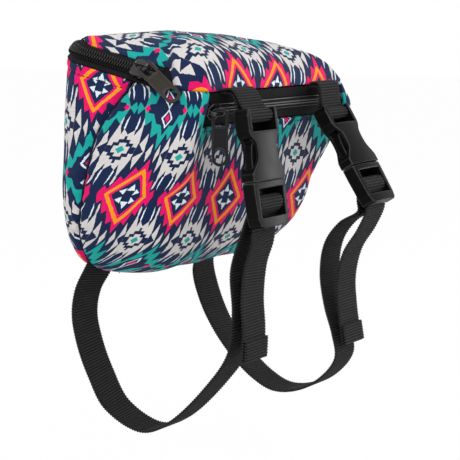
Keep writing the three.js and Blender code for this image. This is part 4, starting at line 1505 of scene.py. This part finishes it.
class POUCH_OT_stitching(bpy.types.Operator):
    """Lay dark cords of painted shade in the end seams, and sew the hems' visible stitches"""

    bl_idname = "pouch.stitching"
    bl_label = "Stitching"

    def execute(self, context):
        self.seam_shade_cords()
        self.rim_hem()
        self.pocket_hem()
        return {"FINISHED"}

    def row(self, name, line, normal):
        """A row of stitches along a line, each dipping into the cloth at both ends."""
        at, run = resample(line, sizes()["stitch"] / 4)
        spread = np.linspace(0, run[-1], len(normal))
        lift = np.stack([np.interp(run, spread, normal[:, k]) for k in range(3)], axis=1)
        rise = STITCH_RISE[:, None]
        lines = [at[i:i + 4] + lift[i:i + 4] * rise for i in range(0, len(at) - 4, 4)]
        points, faces = rods(lines, STITCH_RADIUS)
        thread = add_piece(name, points, faces)
        finish_piece(thread, "sewing_thread_and_seam_shade", "printed_canvas", "pouch")

    def seam_shade_cords(self):
        """A dark cord of painted shade deep in the seam between the back's gussets and the front.
        """
        points, _, _ = back_cloth()
        out = outward(points)
        for name, column in (("left", 0), ("right", -1)):
            line, run = resample(points[3:, column] + out[3:, column] * SEAM_SHADE_LIFT, 1.5)
            along = unit(np.gradient(line, axis=0))
            side = unit(np.cross(along, out[len(out) // 2, column]))
            stations = (line, side, np.cross(side, along))
            shade_cord = swept_piece(f"{name}_seam_shade_cord", stations, SEAM_SHADE_RADIUS * circle(8), run)
            finish_piece(shade_cord, "sewing_thread_and_seam_shade", "printed_canvas", "pouch")

    def rim_hem(self):
        points, _, _ = back_cloth()
        row = int(np.argmin(np.abs(LEVELS - (BACK_HEIGHT - RIM_HEM))))
        self.row("rim_stitches", points[row, 2:-2], outward(points)[row, 2:-2])

    def pocket_hem(self):
        points, _, _, _ = front_cloth()
        middle = points[:, points.shape[1] // 2, 2]
        row = int(np.argmin(np.abs(middle - (POCKET_TOP - POCKET_HEM))))
        inner = np.abs(points[row, :, 0]) < POCKET_REACH - 1
        self.row("pocket_stitches", points[row][inner], outward(points)[row][inner])


class POUCH_PT_panel(bpy.types.Panel):
    """Makes the pouch piece by piece"""

    bl_idname = "POUCH_PT_panel"
    bl_label = "Saddle pouch"
    bl_space_type = "VIEW_3D"
    bl_region_type = "UI"
    bl_category = "Pouch"

    def draw(self, context):
        for operator in OPERATORS:
            self.layout.operator(operator.bl_idname)
        for group in (context.scene.pouch_sizes, context.scene.pouch_colours):
            column = self.layout.column()
            for name in type(group).__annotations__:
                column.prop(group, name)


OPERATORS = (
    POUCH_OT_stage,
    POUCH_OT_straps,
    POUCH_OT_panels,
    POUCH_OT_lid,
    POUCH_OT_pocket,
    POUCH_OT_zips,
    POUCH_OT_sliders,
    POUCH_OT_buckles,
    POUCH_OT_stitching,
)
CLASSES = (PouchSizes, PouchColours, *OPERATORS, POUCH_PT_panel)


def register():
    for made in CLASSES:
        bpy.utils.register_class(made)
    bpy.types.Scene.pouch_sizes = PointerProperty(type=PouchSizes)
    bpy.types.Scene.pouch_colours = PointerProperty(type=PouchColours)


def unregister():
    del bpy.types.Scene.pouch_colours
    del bpy.types.Scene.pouch_sizes
    for made in reversed(CLASSES):
        bpy.utils.unregister_class(made)


def main():
    register()
    for operator in OPERATORS:
        group, name = operator.bl_idname.split(".")
        getattr(getattr(bpy.ops, group), name)()


if __name__ == "__main__":
    main()
